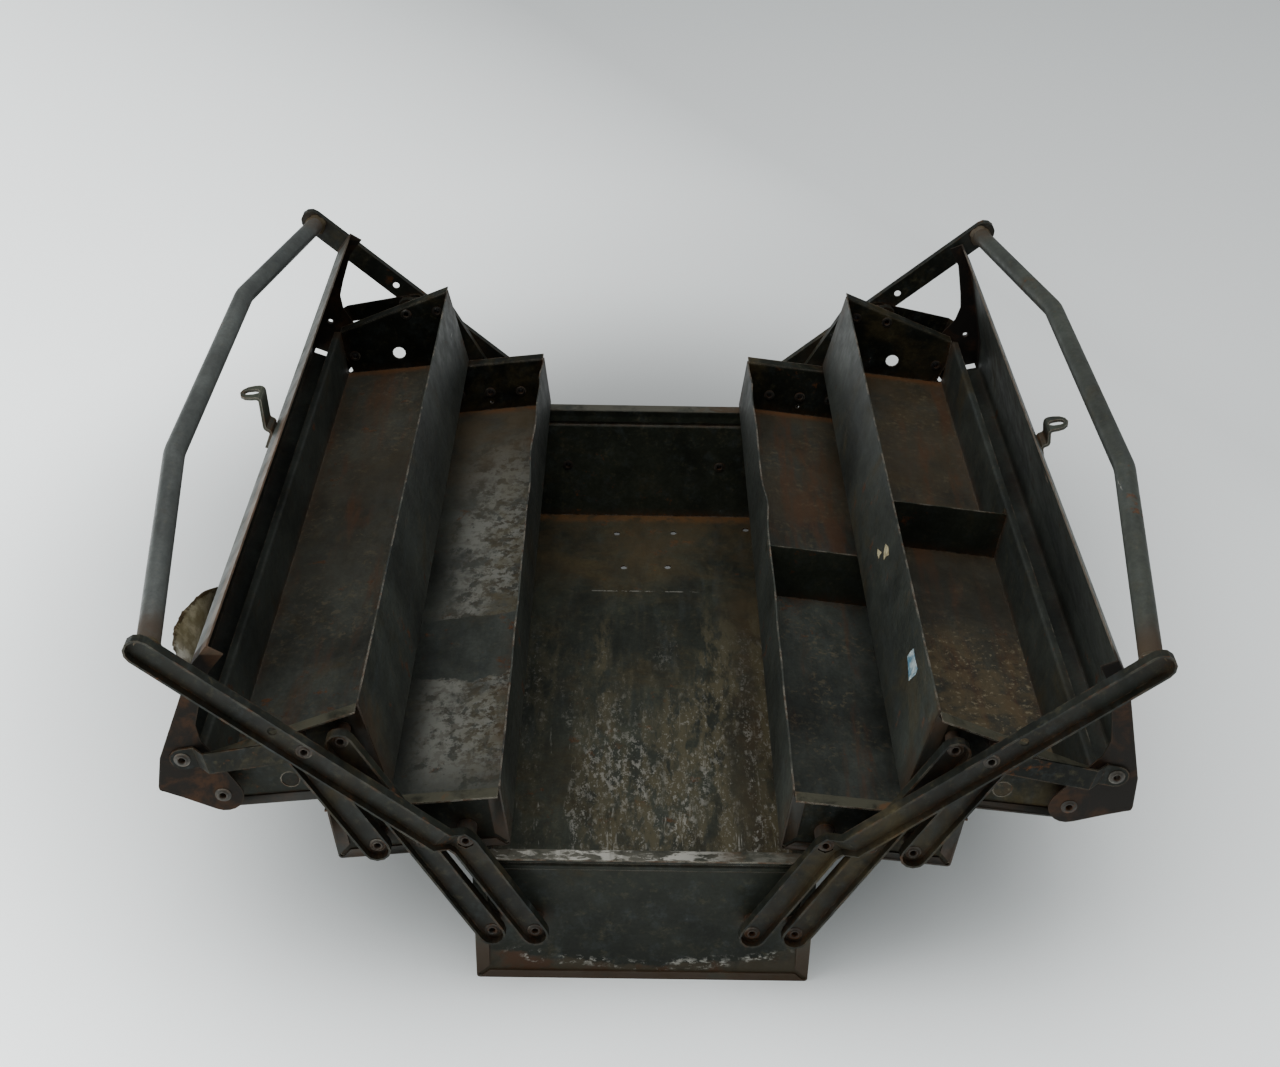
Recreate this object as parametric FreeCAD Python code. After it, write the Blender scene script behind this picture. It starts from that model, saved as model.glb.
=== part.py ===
import FreeCAD, Part
import math
import os

V = FreeCAD.Vector

# Every size is in millimetres and every angle in degrees.
# X runs across the box, Y along it and Z up. The middle of the base is at X = 0, Y = 0.

# Sheet and folds
sheet = 1.0
fold_radius = 1.0
seat = 0.05
running_gap = 0.1
free_gap = 0.3
overrun = 5.0

# Base trough
base_width = 200.0
body_length = 530.0
base_height = 103.0
side_lip_width = 8.0
bottom_lip_height = 6.0
base_lip_drop = 18.0
tray_lip_drop = 3.0
rim_depth = 8.5
bead_drop = 11.0
bead_width = 4.0
bead_depth = 1.2
bead_fold = 0.4
floor_hole_radius = 2.75

# Floor holes, by their place across and their distance from the back end
floor_hole_places = ((-21.6, 30.5), (26.0, 28.4), (-15.4, 81.8), (20.6, 80.4))
corner_hole_inset = 12.8
corner_hole_from_back = 21.7

# Pivots on the base ends, measured in from the long walls and down from the rim
pivot_drop = 52.7
long_pivot_inset = 11.5
pivot_spacing = 25.0

# Links
lower_link_length = 78.0
upper_link_length = 82.6
link_open_angle = 29.4
link_half_width = 8.0
link_depth = 6.0
link_sheet = 1.2
middle_gap = 0.6
tray_droop_angle = 7.0

# Lower tray, measured outward and upward from its inner bottom edge
lower_tray_width = 100.0
lower_tray_height = 43.0
lower_pivot_up = 17.2
lower_long_pivot_out = 48.0
arm_pivot_up = 15.7
small_hole_radius = 1.2
small_hole_drop = 9.0

# Upper tray, measured the same way
upper_tray_width = 100.0
upper_inner_height = 65.0
upper_inner_lean = 7.0
upper_outer_height = 38.0
upper_flange_width = 4.2
upper_pivot_up = 48.2
upper_long_pivot_out = 18.5
lid_pivot_out = 91.0
lid_pivot_up = 16.0
plain_hole_out = 55.0
plain_hole_up = 15.0
plain_hole_radius = 5.0

# Lid, measured from the closed upper tray's inner bottom edge
lid_left_open_angle = 58.5
lid_right_open_angle = 66.0
lid_lip_out = 107.7
lid_lip_up = 47.7
lid_edge_out = 86.2
lid_edge_up = 56.6
lid_crown_out = 19.5
lid_crown_up = 69.3
lid_free_out = 3.2
lid_free_up = 67.8
lid_corner_out = 104.9
lid_corner_up = 33.8
lid_skirt_width = 13.0
lid_skirt_end_gap = 8.7
lid_ear_radius = 11.5
lid_band_height = 10.0
lid_arch_outs = (42.7, 54.7, 63.2)
lid_arch_ups = (53.6, 49.9, 42.8)
lid_fold_radius = 2.5
lid_slot_length = 10.0
lid_slot_width = 3.0
lid_slot_place = -40.0
lid_slot_out = 30.0

# Hasps, cranked strips with an oblong slot; the right one stands lower than the left one
hasp_place = -10.0
hasp_width = 17.0
hasp_sheet = 2.0
hasp_foot_length = 14.0
hasp_root_out = 20.5
hasp_rise = 5.0
left_hasp_knee_out = 2.5
left_hasp_knee_up = 87.3
left_hasp_tip_out = 11.6
left_hasp_tip_up = 99.3
right_hasp_knee_out = 11.5
right_hasp_knee_up = 77.3
right_hasp_tip_out = 14.7
right_hasp_tip_up = 91.5
hasp_fold_radius = 1.5
hasp_slot_length = 10.0
hasp_slot_width = 6.5
hasp_slot_margin = 2.6

# Straps between lid and handle arm
strap_half_width = 7.0
strap_sheet = 1.2
strap_lid_out = 79.1
strap_lid_up = 46.1
strap_arm_along = 110.0
strap_joggle_start = 8.0
strap_joggle_length = 7.0
strap_track_steps = 24

# Handle arms and handle tube
arm_bend_angle = 20.2
arm_joggle_start = 6.0
arm_joggle_length = 10.0
arm_hole_along = 131.0
arm_tip_along = 4.5
arm_hole_radius = 2.6
arm_pivot_hole_radius = 4.3
tube_along = 210.0
tube_radius = 6.5
tube_wall = 1.5
tube_bow = 28.8
tube_bend_place = 110.0
tube_bend_radius = 60.0
weld_height = 1.2
weld_length = 2.5

# Rivets with a shoulder between sheet and link
rivet_shank = 2.4
rivet_head = 4.6
rivet_head_height = 1.2
rivet_inner_head = 4.2
rivet_inner_height = 0.9
rivet_shoulder = 4.3
arm_pivot_shoulder = 5.8
arm_rivet_lift = 0.9

# Sides of the round shapes, which are all cut as regular polygons
head_sides = 10
pin_sides = 6
hole_sides = 6
open_hole_sides = 12
end_sides = 12
tube_sides = 12
ear_sides = 20
fold_sides = 12

# Dividers of the right trays
upper_divider_place = 3.0
lower_divider_place = -8.0
divider_flange = 8.0
divider_drop = 1.5

# Layers outward from the outer face of an end panel
end_face = body_length / 2 - sheet - seat
lip_layer = seat + sheet + seat
lid_plate_layer = rim_depth + free_gap
web_layer = lid_plate_layer + sheet + free_gap
web_outer = web_layer + link_sheet
tips_layer = web_layer + link_depth
strap_layer = tips_layer + free_gap + arm_rivet_lift
arm_layer = strap_layer + strap_sheet + free_gap
arm_outer = arm_layer + link_sheet

# Linkage, drawn open
long_pivot_out = base_width / 2 - long_pivot_inset
pivot_height = base_height - pivot_drop
closed_angle = math.degrees(
    math.asin(
        (long_pivot_out - middle_gap - upper_long_pivot_out)
        / (lower_link_length + upper_link_length)
    )
)
travel = link_open_angle + closed_angle


def turned(point, degrees):
    """A point of the left side turned inward about the Y axis."""
    c = math.cos(math.radians(degrees))
    s = math.sin(math.radians(degrees))
    return (point[0] * c + point[1] * s, -point[0] * s + point[1] * c)


def plus(a, b, factor=1.0):
    return (a[0] + b[0] * factor, a[1] + b[1] * factor)


def heading(a, b):
    dx = b[0] - a[0]
    dz = b[1] - a[1]
    size = math.hypot(dx, dz)
    return (dx / size, dz / size)


def place(out, up):
    """Outward and upward distances as a point of the left side."""
    return (-out, up)


P1 = (-long_pivot_out, pivot_height)
P2 = (-long_pivot_out + pivot_spacing, pivot_height)
A1_LOCAL = place(lower_long_pivot_out, lower_pivot_up)
B1_LOCAL = place(lower_long_pivot_out + pivot_spacing, lower_pivot_up)
H1_LOCAL = place(lower_long_pivot_out - pivot_spacing, arm_pivot_up)
A2_LOCAL = place(upper_long_pivot_out, upper_pivot_up)
B2_LOCAL = place(upper_long_pivot_out + pivot_spacing, upper_pivot_up)
L_LOCAL = place(lid_pivot_out, lid_pivot_up)
C3_LOCAL = place(strap_lid_out, strap_lid_up)


def linkage(share, lid_open):
    """Places of the left pivots; share 0 is open and 1 is closed."""
    turn = travel * share
    link = turned((0.0, 1.0), turn - link_open_angle)
    a1 = plus(P1, link, lower_link_length)
    a2 = plus(P1, link, lower_link_length + upper_link_length)
    tilt = -tray_droop_angle * (1 - share)
    lower = plus(a1, turned(A1_LOCAL, tilt), -1)
    upper = plus(a2, turned(A2_LOCAL, tilt), -1)
    arm_knee = plus(P2, link, lower_link_length)
    upper_arm = turned(link, -arm_bend_angle)
    lid_pivot = plus(upper, turned(L_LOCAL, tilt))
    lid_reach = plus(C3_LOCAL, L_LOCAL, -1)
    return {
        "A1": a1,
        "A2": a2,
        "B1": plus(lower, turned(B1_LOCAL, tilt)),
        "B2": plus(upper, turned(B2_LOCAL, tilt)),
        "H1": plus(lower, turned(H1_LOCAL, tilt)),
        "knee": arm_knee,
        "upper_arm": upper_arm,
        "C1": plus(arm_knee, upper_arm, strap_arm_along),
        "T": plus(arm_knee, upper_arm, tube_along),
        "L": lid_pivot,
        "C3": plus(lid_pivot, turned(lid_reach, -lid_open * (1 - share))),
        "lower": lower,
        "upper": upper,
        "tilt": tilt,
    }


def strap_track(lid_open):
    """Track of the arm's rivet along and across the strap, and the strap's own turn."""
    first = linkage(0.0, lid_open)
    last = linkage(1.0, lid_open)
    start = heading(first["C3"], first["C1"])
    end = heading(last["C3"], last["C1"])
    turn = math.degrees(math.atan2(start[1], start[0]) - math.atan2(end[1], end[0]))
    track = []
    for step in range(strap_track_steps + 1):
        share = step / strap_track_steps
        now = linkage(share, lid_open)
        along = turned(start, turn * share)
        gap = plus(now["C1"], now["C3"], -1)
        track.append(
            (
                gap[0] * along[0] + gap[1] * along[1],
                -gap[0] * along[1] + gap[1] * along[0],
            )
        )
    return track, turn


def solid_of(wire, reach):
    return Part.Face(wire).extrude(reach)


def closed_wire(points):
    return Part.makePolygon(points + [points[0]])


def plate(points, inner, outer):
    """A flat prism at the front end between two layers."""
    corners = [V(x, -(end_face + inner), z) for x, z in points]
    return solid_of(closed_wire(corners), V(0, -(outer - inner), 0))


def ring(centre, radius, sides, around=False):
    """Corners of a polygon inside a circle, or around it."""
    reach = radius / math.cos(math.pi / sides) if around else radius
    turns = [2 * math.pi * (number + 0.5) / sides for number in range(sides)]
    return [plus(centre, (math.cos(turn), math.sin(turn)), reach) for turn in turns]


def pin(centre, radius, sides, inner, outer):
    return plate(ring(centre, radius, sides), inner, outer)


def round_end(centre, along, radius, sides):
    """Half a circle round an end, from its left side to its right side."""
    left = (-along[1], along[0])
    corners = []
    for number in range(sides // 2 + 1):
        turn = 2 * math.pi * number / sides
        spoke = plus(
            (left[0] * math.cos(turn), left[1] * math.cos(turn)), along, math.sin(turn)
        )
        corners.append(plus(centre, spoke, radius))
    return corners


def strip(points, half_width, inner, outer, sides=end_sides):
    """A strip with round ends that follows the points, mitred where it bends."""
    first = heading(points[1], points[0])
    last = heading(points[-2], points[-1])
    one_side = []
    other_side = []
    for before, corner, after in zip(points, points[1:], points[2:]):
        d1 = heading(before, corner)
        d2 = heading(corner, after)
        middle = heading((0, 0), plus(d1, d2))
        reach = half_width / (middle[0] * d1[0] + middle[1] * d1[1])
        left = (-middle[1], middle[0])
        one_side.append(plus(corner, left, reach))
        other_side.append(plus(corner, left, -reach))
    outline = round_end(points[0], first, half_width, sides)
    outline += one_side
    outline += round_end(points[-1], last, half_width, sides)
    outline += reversed(other_side)
    return plate(outline, inner, outer)


def level_band(origin, along, levels, low, high, half_span):
    """A slab that follows a cranked level, seen from the side of the strip."""
    across = V(-along[1], 0, along[0])

    def corner(reach, level):
        point = plus(origin, along, reach)
        return V(point[0], -(end_face + level), point[1]) - across * half_span

    lower = [corner(reach, level + low) for reach, level in levels]
    upper = [corner(reach, level + high) for reach, level in reversed(levels)]
    return solid_of(closed_wire(lower + upper), across * (2 * half_span))


def bent_sheet(points, thickness, side, radius, to_space, reach):
    """A folded sheet: one face follows the points, the other lies to the left or right."""
    first = heading(points[0], points[1])
    last = heading(points[-2], points[-1])
    near = [points[0]]
    far = [plus(points[0], (-first[1], first[0]), side * thickness)]
    for before, corner, after in zip(points, points[1:], points[2:]):
        d1 = heading(before, corner)
        d2 = heading(corner, after)
        cross = d1[0] * d2[1] - d1[1] * d2[0]
        dot = d1[0] * d2[0] + d1[1] * d2[1]
        bend = math.atan2(cross, dot)
        hand = 1 if bend > 0 else -1
        near_radius = radius + (thickness if hand == side else 0)
        far_radius = radius + (0 if hand == side else thickness)
        touch = plus(corner, d1, -near_radius * math.tan(abs(bend) / 2))
        centre = plus(touch, (-d1[1], d1[0]), hand * near_radius)
        count = max(1, round(fold_sides * abs(bend) / (2 * math.pi)))
        for number in range(count + 1):
            turn = math.degrees(-bend * number / count)
            spoke = turned((d1[1] * hand, -d1[0] * hand), turn)
            near.append(plus(centre, spoke, near_radius))
            far.append(plus(centre, spoke, far_radius))
    near.append(points[-1])
    far.append(plus(points[-1], (-last[1], last[0]), side * thickness))
    corners = [to_space(*point) for point in near + far[::-1]]
    return solid_of(closed_wire(corners), reach)


def mirrored_back(shape):
    return shape.mirror(V(0, 0, 0), V(0, 1, 0))


def mirrored_right(shape):
    return shape.mirror(V(0, 0, 0), V(1, 0, 0))


def both_ends(shape):
    return Part.makeCompound([shape, mirrored_back(shape)])


def set_down(shape, origin, tilt):
    """Moves a piece from its tray's own frame to its place on the left side."""
    moved = shape.copy()
    moved.rotate(V(0, 0, 0), V(0, 1, 0), tilt)
    moved.translate(V(origin[0], 0, origin[1]))
    return moved


def swung(shape, pivot, degrees):
    moved = shape.copy()
    moved.rotate(V(pivot[0], 0, pivot[1]), V(0, 1, 0), degrees)
    return moved


def lip_cut(corner, wall, floor, width):
    """Point where a lip of this width meets the mitre line at a bottom corner."""
    middle = heading((0, 0), plus(wall, floor))
    sine = abs(wall[0] * middle[1] - wall[1] * middle[0])
    return plus(corner, middle, width / sine)


def trough(section, lip_drop, flange_width=0):
    """A folded trough along Y with lips turned over both ends, and maybe a flange turned out."""
    top_a, foot_a, foot_b, top_b = section
    half = body_length / 2
    profile = list(section)
    if flange_width > 0:
        corner = plus(top_b, heading(foot_b, top_b), -sheet)
        profile = profile[:-1] + [corner, plus(corner, heading(foot_a, foot_b), flange_width)]
    body = bent_sheet(
        profile, sheet, -1, fold_radius, lambda x, z: V(x, -half, z), V(0, body_length, 0)
    )
    relief = fold_radius + sheet
    floor_a = heading(foot_a, foot_b)
    floor_b = heading(foot_b, foot_a)
    lips = []
    for top, foot, floor in ((top_a, foot_a, floor_a), (top_b, foot_b, floor_b)):
        wall = heading(foot, top)
        end = plus(top, wall, -lip_drop)
        cut = plus(lip_cut(foot, wall, floor, side_lip_width), wall, relief)
        reach = plus(cut, foot, -1)
        along = reach[0] * wall[0] + reach[1] * wall[1]
        side = plus(reach, wall, -along)
        slope = plus(plus(end, side), wall, -side_lip_width / 2)
        lips.append([plus(foot, wall, relief), end, slope, cut])
    cut_a = plus(lip_cut(foot_a, heading(foot_a, top_a), floor_a, bottom_lip_height), floor_a, relief)
    cut_b = plus(lip_cut(foot_b, heading(foot_b, top_b), floor_b, bottom_lip_height), floor_b, relief)
    lips.append([plus(foot_a, floor_a, relief), plus(foot_b, floor_b, relief), cut_b, cut_a])
    for lip in lips:
        front = plate(lip, seat, seat + sheet)
        body = body.fuse([front, mirrored_back(front)])
    return body.removeSplitter()


def end_panel(section, with_bead):
    """A front end panel: top edge turned outward as a rim, held inside the trough."""
    top_a, foot_a, foot_b, top_b = section
    inset = sheet + seat
    rim = heading(top_a, top_b)
    down = (-rim[1], rim[0])
    if down[1] > 0:
        down = (rim[1], -rim[0])
    deepest = max(top_a[1], top_b[1]) + overrun
    profile = [(rim_depth, 0), (-sheet, 0)]
    if with_bead:
        low = bead_drop + bead_width
        profile.append((-sheet, -bead_drop))
        profile.append((bead_depth - sheet, -bead_drop - bead_depth))
        profile.append((bead_depth - sheet, -low + bead_depth))
        profile.append((-sheet, -low))
    profile.append((-sheet, -deepest))
    start = plus(top_a, rim, -overrun)
    length = math.hypot(top_b[0] - top_a[0], top_b[1] - top_a[1]) + 2 * overrun
    radius = bead_fold if with_bead else fold_radius

    def to_space(out, drop):
        point = plus(start, down, -drop)
        return V(point[0], -(end_face + out), point[1])

    panel = bent_sheet(
        profile, sheet, 1, radius, to_space, V(rim[0] * length, 0, rim[1] * length)
    )
    wall_a = heading(foot_a, top_a)
    wall_b = heading(foot_b, top_b)
    side_a = (wall_a[1], -wall_a[0])
    if side_a[0] > 0:
        side_a = (-side_a[0], -side_a[1])
    side_b = (wall_b[1], -wall_b[0])
    if side_b[0] < 0:
        side_b = (-side_b[0], -side_b[1])
    high_a = plus(plus(top_a, side_a, inset), wall_a, overrun)
    high_b = plus(plus(top_b, side_b, inset), wall_b, overrun)
    low_a = plus(plus(foot_a, side_a, inset), wall_a, inset + fold_radius)
    low_b = plus(plus(foot_b, side_b, inset), wall_b, inset + fold_radius)
    floor_a = (foot_a[0] - inset - fold_radius, foot_a[1] + inset)
    floor_b = (foot_b[0] + inset + fold_radius, foot_b[1] + inset)
    window = plate([high_a, low_a, floor_a, floor_b, low_b, high_b], -sheet - overrun, rim_depth + overrun)
    return panel.common(window)


def rivet(centre, under, over, shoulder=None, inner_head=True):
    """A rivet: under and over are the faces that its heads hold.

    A shoulder is given as its radius and its two layers.
    """
    foot = under - seat if inner_head else under
    body = pin(centre, rivet_shank, pin_sides, foot, over)
    pieces = [pin(centre, rivet_head, head_sides, over, over + rivet_head_height)]
    if inner_head:
        pieces.append(pin(centre, rivet_inner_head, head_sides, foot - rivet_inner_height, foot))
    if shoulder is not None:
        radius, base, top_face = shoulder
        pieces.append(pin(centre, radius, pin_sides, base, top_face))
    return body.fuse(pieces).removeSplitter()


def panel_rivet(centre, radius=rivet_shoulder, base=seat):
    """A rivet that carries a link, with a shoulder that keeps the link off the rim."""
    shoulder = (radius, base, web_layer - running_gap)
    return rivet(centre, -sheet, web_outer + running_gap, shoulder)


def pivot_hole(centre, radius, sides=hole_sides):
    """A cutter through every layer, just clear of a pin of this radius."""
    corners = ring(centre, radius, sides, around=True)
    return plate(corners, -sheet - overrun, arm_outer + link_depth + overrun)


def straight_link(points):
    outer = strip([points[0], points[-1]], link_half_width, web_layer, tips_layer)
    inner = strip([points[0], points[-1]], link_half_width - link_sheet, web_outer, tips_layer + overrun)
    link = outer.cut(inner)
    for point in points:
        link = link.cut(pivot_hole(point, rivet_shank + running_gap))
    return link


def handle_arm(state):
    """A cranked channel from the base pivot to the tube."""
    knee = state["knee"]
    along = state["upper_arm"]
    points = [P2, knee, plus(state["T"], along, arm_tip_along)]
    crank_end = arm_joggle_start + arm_joggle_length
    levels = [
        (-lower_link_length - link_half_width - overrun, web_layer),
        (arm_joggle_start, web_layer),
        (crank_end, arm_layer),
        (tube_along + arm_tip_along + link_half_width + overrun, arm_layer),
    ]
    span = lower_link_length
    top = arm_layer + link_depth + overrun
    outer = strip(points, link_half_width, web_layer - overrun, top)
    outer = outer.common(level_band(knee, along, levels, 0, link_depth, span))
    inner = strip(points, link_half_width - link_sheet, web_layer - overrun, top)
    inner = inner.common(level_band(knee, along, levels, link_sheet, link_depth + overrun, span))
    arm = outer.cut(inner)
    arm = arm.cut(pivot_hole(P2, rivet_shank + running_gap))
    arm = arm.cut(pivot_hole(knee, arm_pivot_hole_radius))
    arm = arm.cut(pivot_hole(state["C1"], rivet_shank + seat))
    hole = plus(knee, along, arm_hole_along)
    arm = arm.cut(pivot_hole(hole, arm_hole_radius, open_hole_sides))
    return arm


def handle_tube(state):
    """A bent tube between the two arms, bowed outward, with a weld ring at each end."""
    end_y = end_face + arm_layer - seat
    along = state["upper_arm"]
    end = state["T"]
    bow = plus(end, along, tube_bow)
    corners = [
        V(end[0], -end_y, end[1]),
        V(bow[0], -tube_bend_place, bow[1]),
        V(bow[0], tube_bend_place, bow[1]),
        V(end[0], end_y, end[1]),
    ]
    corners[0] += (corners[0] - corners[1]).normalize() * overrun
    corners[-1] += (corners[-1] - corners[-2]).normalize() * overrun
    edges = []
    start = corners[0]
    for before, corner, after in zip(corners, corners[1:], corners[2:]):
        d1 = (corner - before).normalize()
        d2 = (after - corner).normalize()
        back = tube_bend_radius * math.tan(d1.getAngle(d2) / 2)
        p1 = corner - d1 * back
        p2 = corner + d2 * back
        inward = (d2 - d1).normalize()
        centre = corner + inward * math.hypot(tube_bend_radius, back)
        edges.append(Part.LineSegment(start, p1).toShape())
        edges.append(Part.Arc(p1, centre - inward * tube_bend_radius, p2).toShape())
        start = p2
    edges.append(Part.LineSegment(start, corners[-1]).toShape())
    path = Part.Wire(edges)
    out = (corners[1] - corners[0]).normalize()

    along3 = V(along[0], 0, along[1])
    square = out.cross(along3).normalize()
    level = square.cross(out)

    def section(centre, radius):
        corners = ring((0, 0), radius, tube_sides)
        return closed_wire([centre + square * x + level * y for x, y in corners])

    def swept(radius):
        return path.makePipeShell([section(corners[0], radius)], True, True)

    weld_foot = V(end[0], -end_y, end[1]) - out * weld_length
    weld_tip = weld_foot + out * (2 * weld_length + weld_length / 2)
    weld = Part.makeLoft(
        [section(weld_foot, tube_radius + 2 * weld_height), section(weld_tip, tube_radius - weld_height / 2)],
        True,
        True,
    )
    tube = swept(tube_radius).fuse([weld, mirrored_back(weld)])
    tube = tube.cut(swept(tube_radius - tube_wall))
    room = Part.makeBox(
        4 * tube_bow,
        2 * end_y,
        4 * tube_bow,
        V(end[0] - 2 * tube_bow, -end_y, end[1] - 2 * tube_bow),
    )
    return tube.common(room)


def strap(state, lid_open):
    """A flat cranked bar with a round hole at the lid and a slot at the arm."""
    track, turn = strap_track(lid_open)
    first = state["C3"]
    along = heading(first, state["C1"])
    across = (-along[1], along[0])
    reaches = [reach for reach, drift in track]
    drifts = [drift for reach, drift in track]
    middle = (max(drifts) + min(drifts)) / 2
    spread = (max(drifts) - min(drifts)) / 2
    slot_half = (rivet_shank + running_gap + spread) / math.cos(math.pi / end_sides)
    slot_start = plus(plus(first, along, min(reaches)), across, middle)
    slot_end = plus(plus(first, along, max(reaches)), across, middle)
    bar_end = plus(plus(first, along, max(reaches)), across, middle)
    bar = strip([first, bar_end], strap_half_width, 0, arm_outer)
    crank_end = strap_joggle_start + strap_joggle_length
    levels = [
        (-strap_half_width - overrun, web_layer),
        (strap_joggle_start, web_layer),
        (crank_end, strap_layer),
        (max(reaches) + strap_half_width + overrun, strap_layer),
    ]
    bar = bar.common(level_band(first, along, levels, 0, strap_sheet, 2 * strap_half_width))
    bar = bar.cut(pivot_hole(first, rivet_shank + running_gap))
    slot = strip([slot_start, slot_end], slot_half, 0, arm_outer + overrun)
    return bar.cut(slot)


def tangent_point(centre, radius, point, hand):
    """Touching point of a line from the point to the circle."""
    reach = math.hypot(point[0] - centre[0], point[1] - centre[1])
    towards = heading(centre, point)
    angle = math.acos(radius / reach) * hand
    c = math.cos(angle)
    s = math.sin(angle)
    spoke = (towards[0] * c - towards[1] * s, towards[0] * s + towards[1] * c)
    return plus(centre, spoke, radius)


def arc_points(centre, start, end, sides):
    """Corners of an arc that turns left from start to end."""
    radius = math.hypot(start[0] - centre[0], start[1] - centre[1])
    first = math.atan2(start[1] - centre[1], start[0] - centre[0])
    last = math.atan2(end[1] - centre[1], end[0] - centre[0])
    while last < first:
        last += 2 * math.pi
    count = max(1, math.ceil(sides * (last - first) / (2 * math.pi)))
    turns = [first + (last - first) * number / count for number in range(count + 1)]
    return [plus(centre, (math.cos(turn), math.sin(turn)), radius) for turn in turns]


def lid_cover():
    """The closed lid in the upper tray's frame: creased cover and two end plates."""
    lip = place(lid_lip_out, lid_lip_up)
    edge = place(lid_edge_out, lid_edge_up)
    crown = place(lid_crown_out, lid_crown_up)
    free = place(lid_free_out, lid_free_up)
    low = place(lid_corner_out, lid_corner_up)
    skirt = plus(lip, heading(lip, low), lid_skirt_width)
    half = end_face + lid_plate_layer + sheet
    cover = bent_sheet(
        [skirt, lip, edge, crown, free],
        sheet,
        -1,
        lid_fold_radius,
        lambda x, z: V(x, -half, z),
        V(0, 2 * half, 0),
    )
    short = half - sheet - lid_skirt_end_gap
    for start in (-half - overrun, short):
        notch = Part.makeBox(
            lid_edge_out,
            half + overrun - short,
            lid_lip_up,
            V(-lid_lip_out - overrun, start, -lid_fold_radius),
        )
        cover = cover.cut(notch)
    arch = [place(out, up) for out, up in zip(lid_arch_outs, lid_arch_ups)]
    inner = sheet / 2
    ear_out = tangent_point(L_LOCAL, lid_ear_radius, low, 1)
    ear_in = tangent_point(L_LOCAL, lid_ear_radius, arch[-1], -1)
    outline = [
        (free[0], free[1] - inner),
        (crown[0], crown[1] - inner),
        (edge[0], edge[1] - inner),
        (lip[0] + inner, lip[1] - inner),
        low,
    ]
    outline += arc_points(L_LOCAL, ear_out, ear_in, ear_sides)
    outline += [
        arch[2],
        arch[1],
        arch[0],
        (crown[0], crown[1] - lid_band_height),
        (free[0], free[1] - lid_band_height),
    ]
    end_plate = plate(outline, lid_plate_layer, lid_plate_layer + sheet)
    cover = cover.fuse([end_plate, mirrored_back(end_plate)]).removeSplitter()
    for end in (1, -1):
        for centre, radius in ((L_LOCAL, rivet_shank + running_gap), (C3_LOCAL, rivet_shank + seat)):
            hole = pivot_hole(centre, radius)
            cover = cover.cut(hole if end == 1 else mirrored_back(hole))
    slot = Part.makeBox(
        lid_slot_width,
        lid_slot_length,
        lid_edge_up,
        V(-lid_slot_out - lid_slot_width, lid_slot_place - lid_slot_length / 2, lid_edge_up),
    )
    return cover.cut(slot)


def lid_hasp(knee, tip):
    """A cranked strip that stands on the lid's crown, with an oblong slot in its tip."""
    crown = place(lid_crown_out, lid_crown_up)
    edge = place(lid_edge_out, lid_edge_up)
    slope = heading(crown, edge)
    normal = (slope[1], -slope[0])
    if normal[1] < 0:
        normal = (-normal[0], -normal[1])
    root = plus(plus(crown, slope, hasp_root_out - lid_crown_out), normal, seat)
    foot = plus(root, slope, hasp_foot_length)
    riser = plus(root, normal, hasp_rise)
    low = hasp_place - hasp_width / 2
    strip_body = bent_sheet(
        [foot, root, riser, knee, tip],
        hasp_sheet,
        1,
        hasp_fold_radius,
        lambda x, z: V(x, low, z),
        V(0, hasp_width, 0),
    )
    rise = heading(knee, tip)
    rise3 = V(rise[0], 0, rise[1])
    cross = V(-rise[1], 0, rise[0])
    tip3 = V(tip[0], hasp_place, tip[1])

    def cutter(outline):
        """A cutter through the tongue from places along it and across it."""
        corners = [
            tip3 + rise3 * up + V(0, side, 0) - cross * overrun for side, up in outline
        ]
        return solid_of(closed_wire(corners), cross * (2 * overrun))

    tip_radius = hasp_width / 2
    round_tip = round_end((0, -tip_radius), (0, 1), tip_radius, end_sides)
    beyond = [(tip_radius + overrun, overrun), (-tip_radius - overrun, overrun)]
    frame = [(-tip_radius - overrun, -tip_radius)] + round_tip
    frame += [(tip_radius + overrun, -tip_radius)] + beyond
    slot_radius = hasp_slot_width / 2
    slot_top = -hasp_slot_margin - slot_radius
    slot_low = slot_top - hasp_slot_length + 2 * slot_radius
    slot = round_end((0, slot_top), (0, 1), slot_radius, end_sides)
    slot += round_end((0, slot_low), (0, -1), slot_radius, end_sides)
    return strip_body.cut(cutter(frame)).cut(cutter(slot))


def divider(section, y, drop):
    """A sheet divider across a tray with a flange folded along each wall and the floor."""
    top_a, foot_a, foot_b, top_b = section
    inset = sheet + seat
    wall_a = heading(foot_a, top_a)
    wall_b = heading(foot_b, top_b)
    side_a = (-wall_a[1], wall_a[0])
    if side_a[0] > 0:
        side_a = (-side_a[0], -side_a[1])
    side_b = (-wall_b[1], wall_b[0])
    if side_b[0] < 0:
        side_b = (-side_b[0], -side_b[1])
    floor_z = foot_a[1] + inset
    relief = fold_radius + sheet
    high_a = plus(plus(top_a, side_a, inset), wall_a, -drop)
    high_b = plus(plus(top_b, side_b, inset), wall_b, -drop)
    low_a = plus(plus(foot_a, side_a, inset), wall_a, inset + fold_radius)
    low_b = plus(plus(foot_b, side_b, inset), wall_b, inset + fold_radius)
    floor_a = (foot_a[0] - inset - fold_radius, floor_z)
    floor_b = (foot_b[0] + inset + fold_radius, floor_z)
    outline = [V(x, y, z) for x, z in (high_a, low_a, floor_a, floor_b, low_b, high_b)]
    body = solid_of(closed_wire(outline), V(0, sheet, 0))
    for high, low, side in ((high_a, low_a, side_a), (high_b, low_b, side_b)):
        bottom = plus(low, heading(low, high), relief)
        corners = [high, bottom, plus(bottom, side, sheet), plus(high, side, sheet)]
        flange = [V(x, y, z) for x, z in corners]
        body = body.fuse(solid_of(closed_wire(flange), V(0, divider_flange, 0)))
    return body.removeSplitter()


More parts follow.
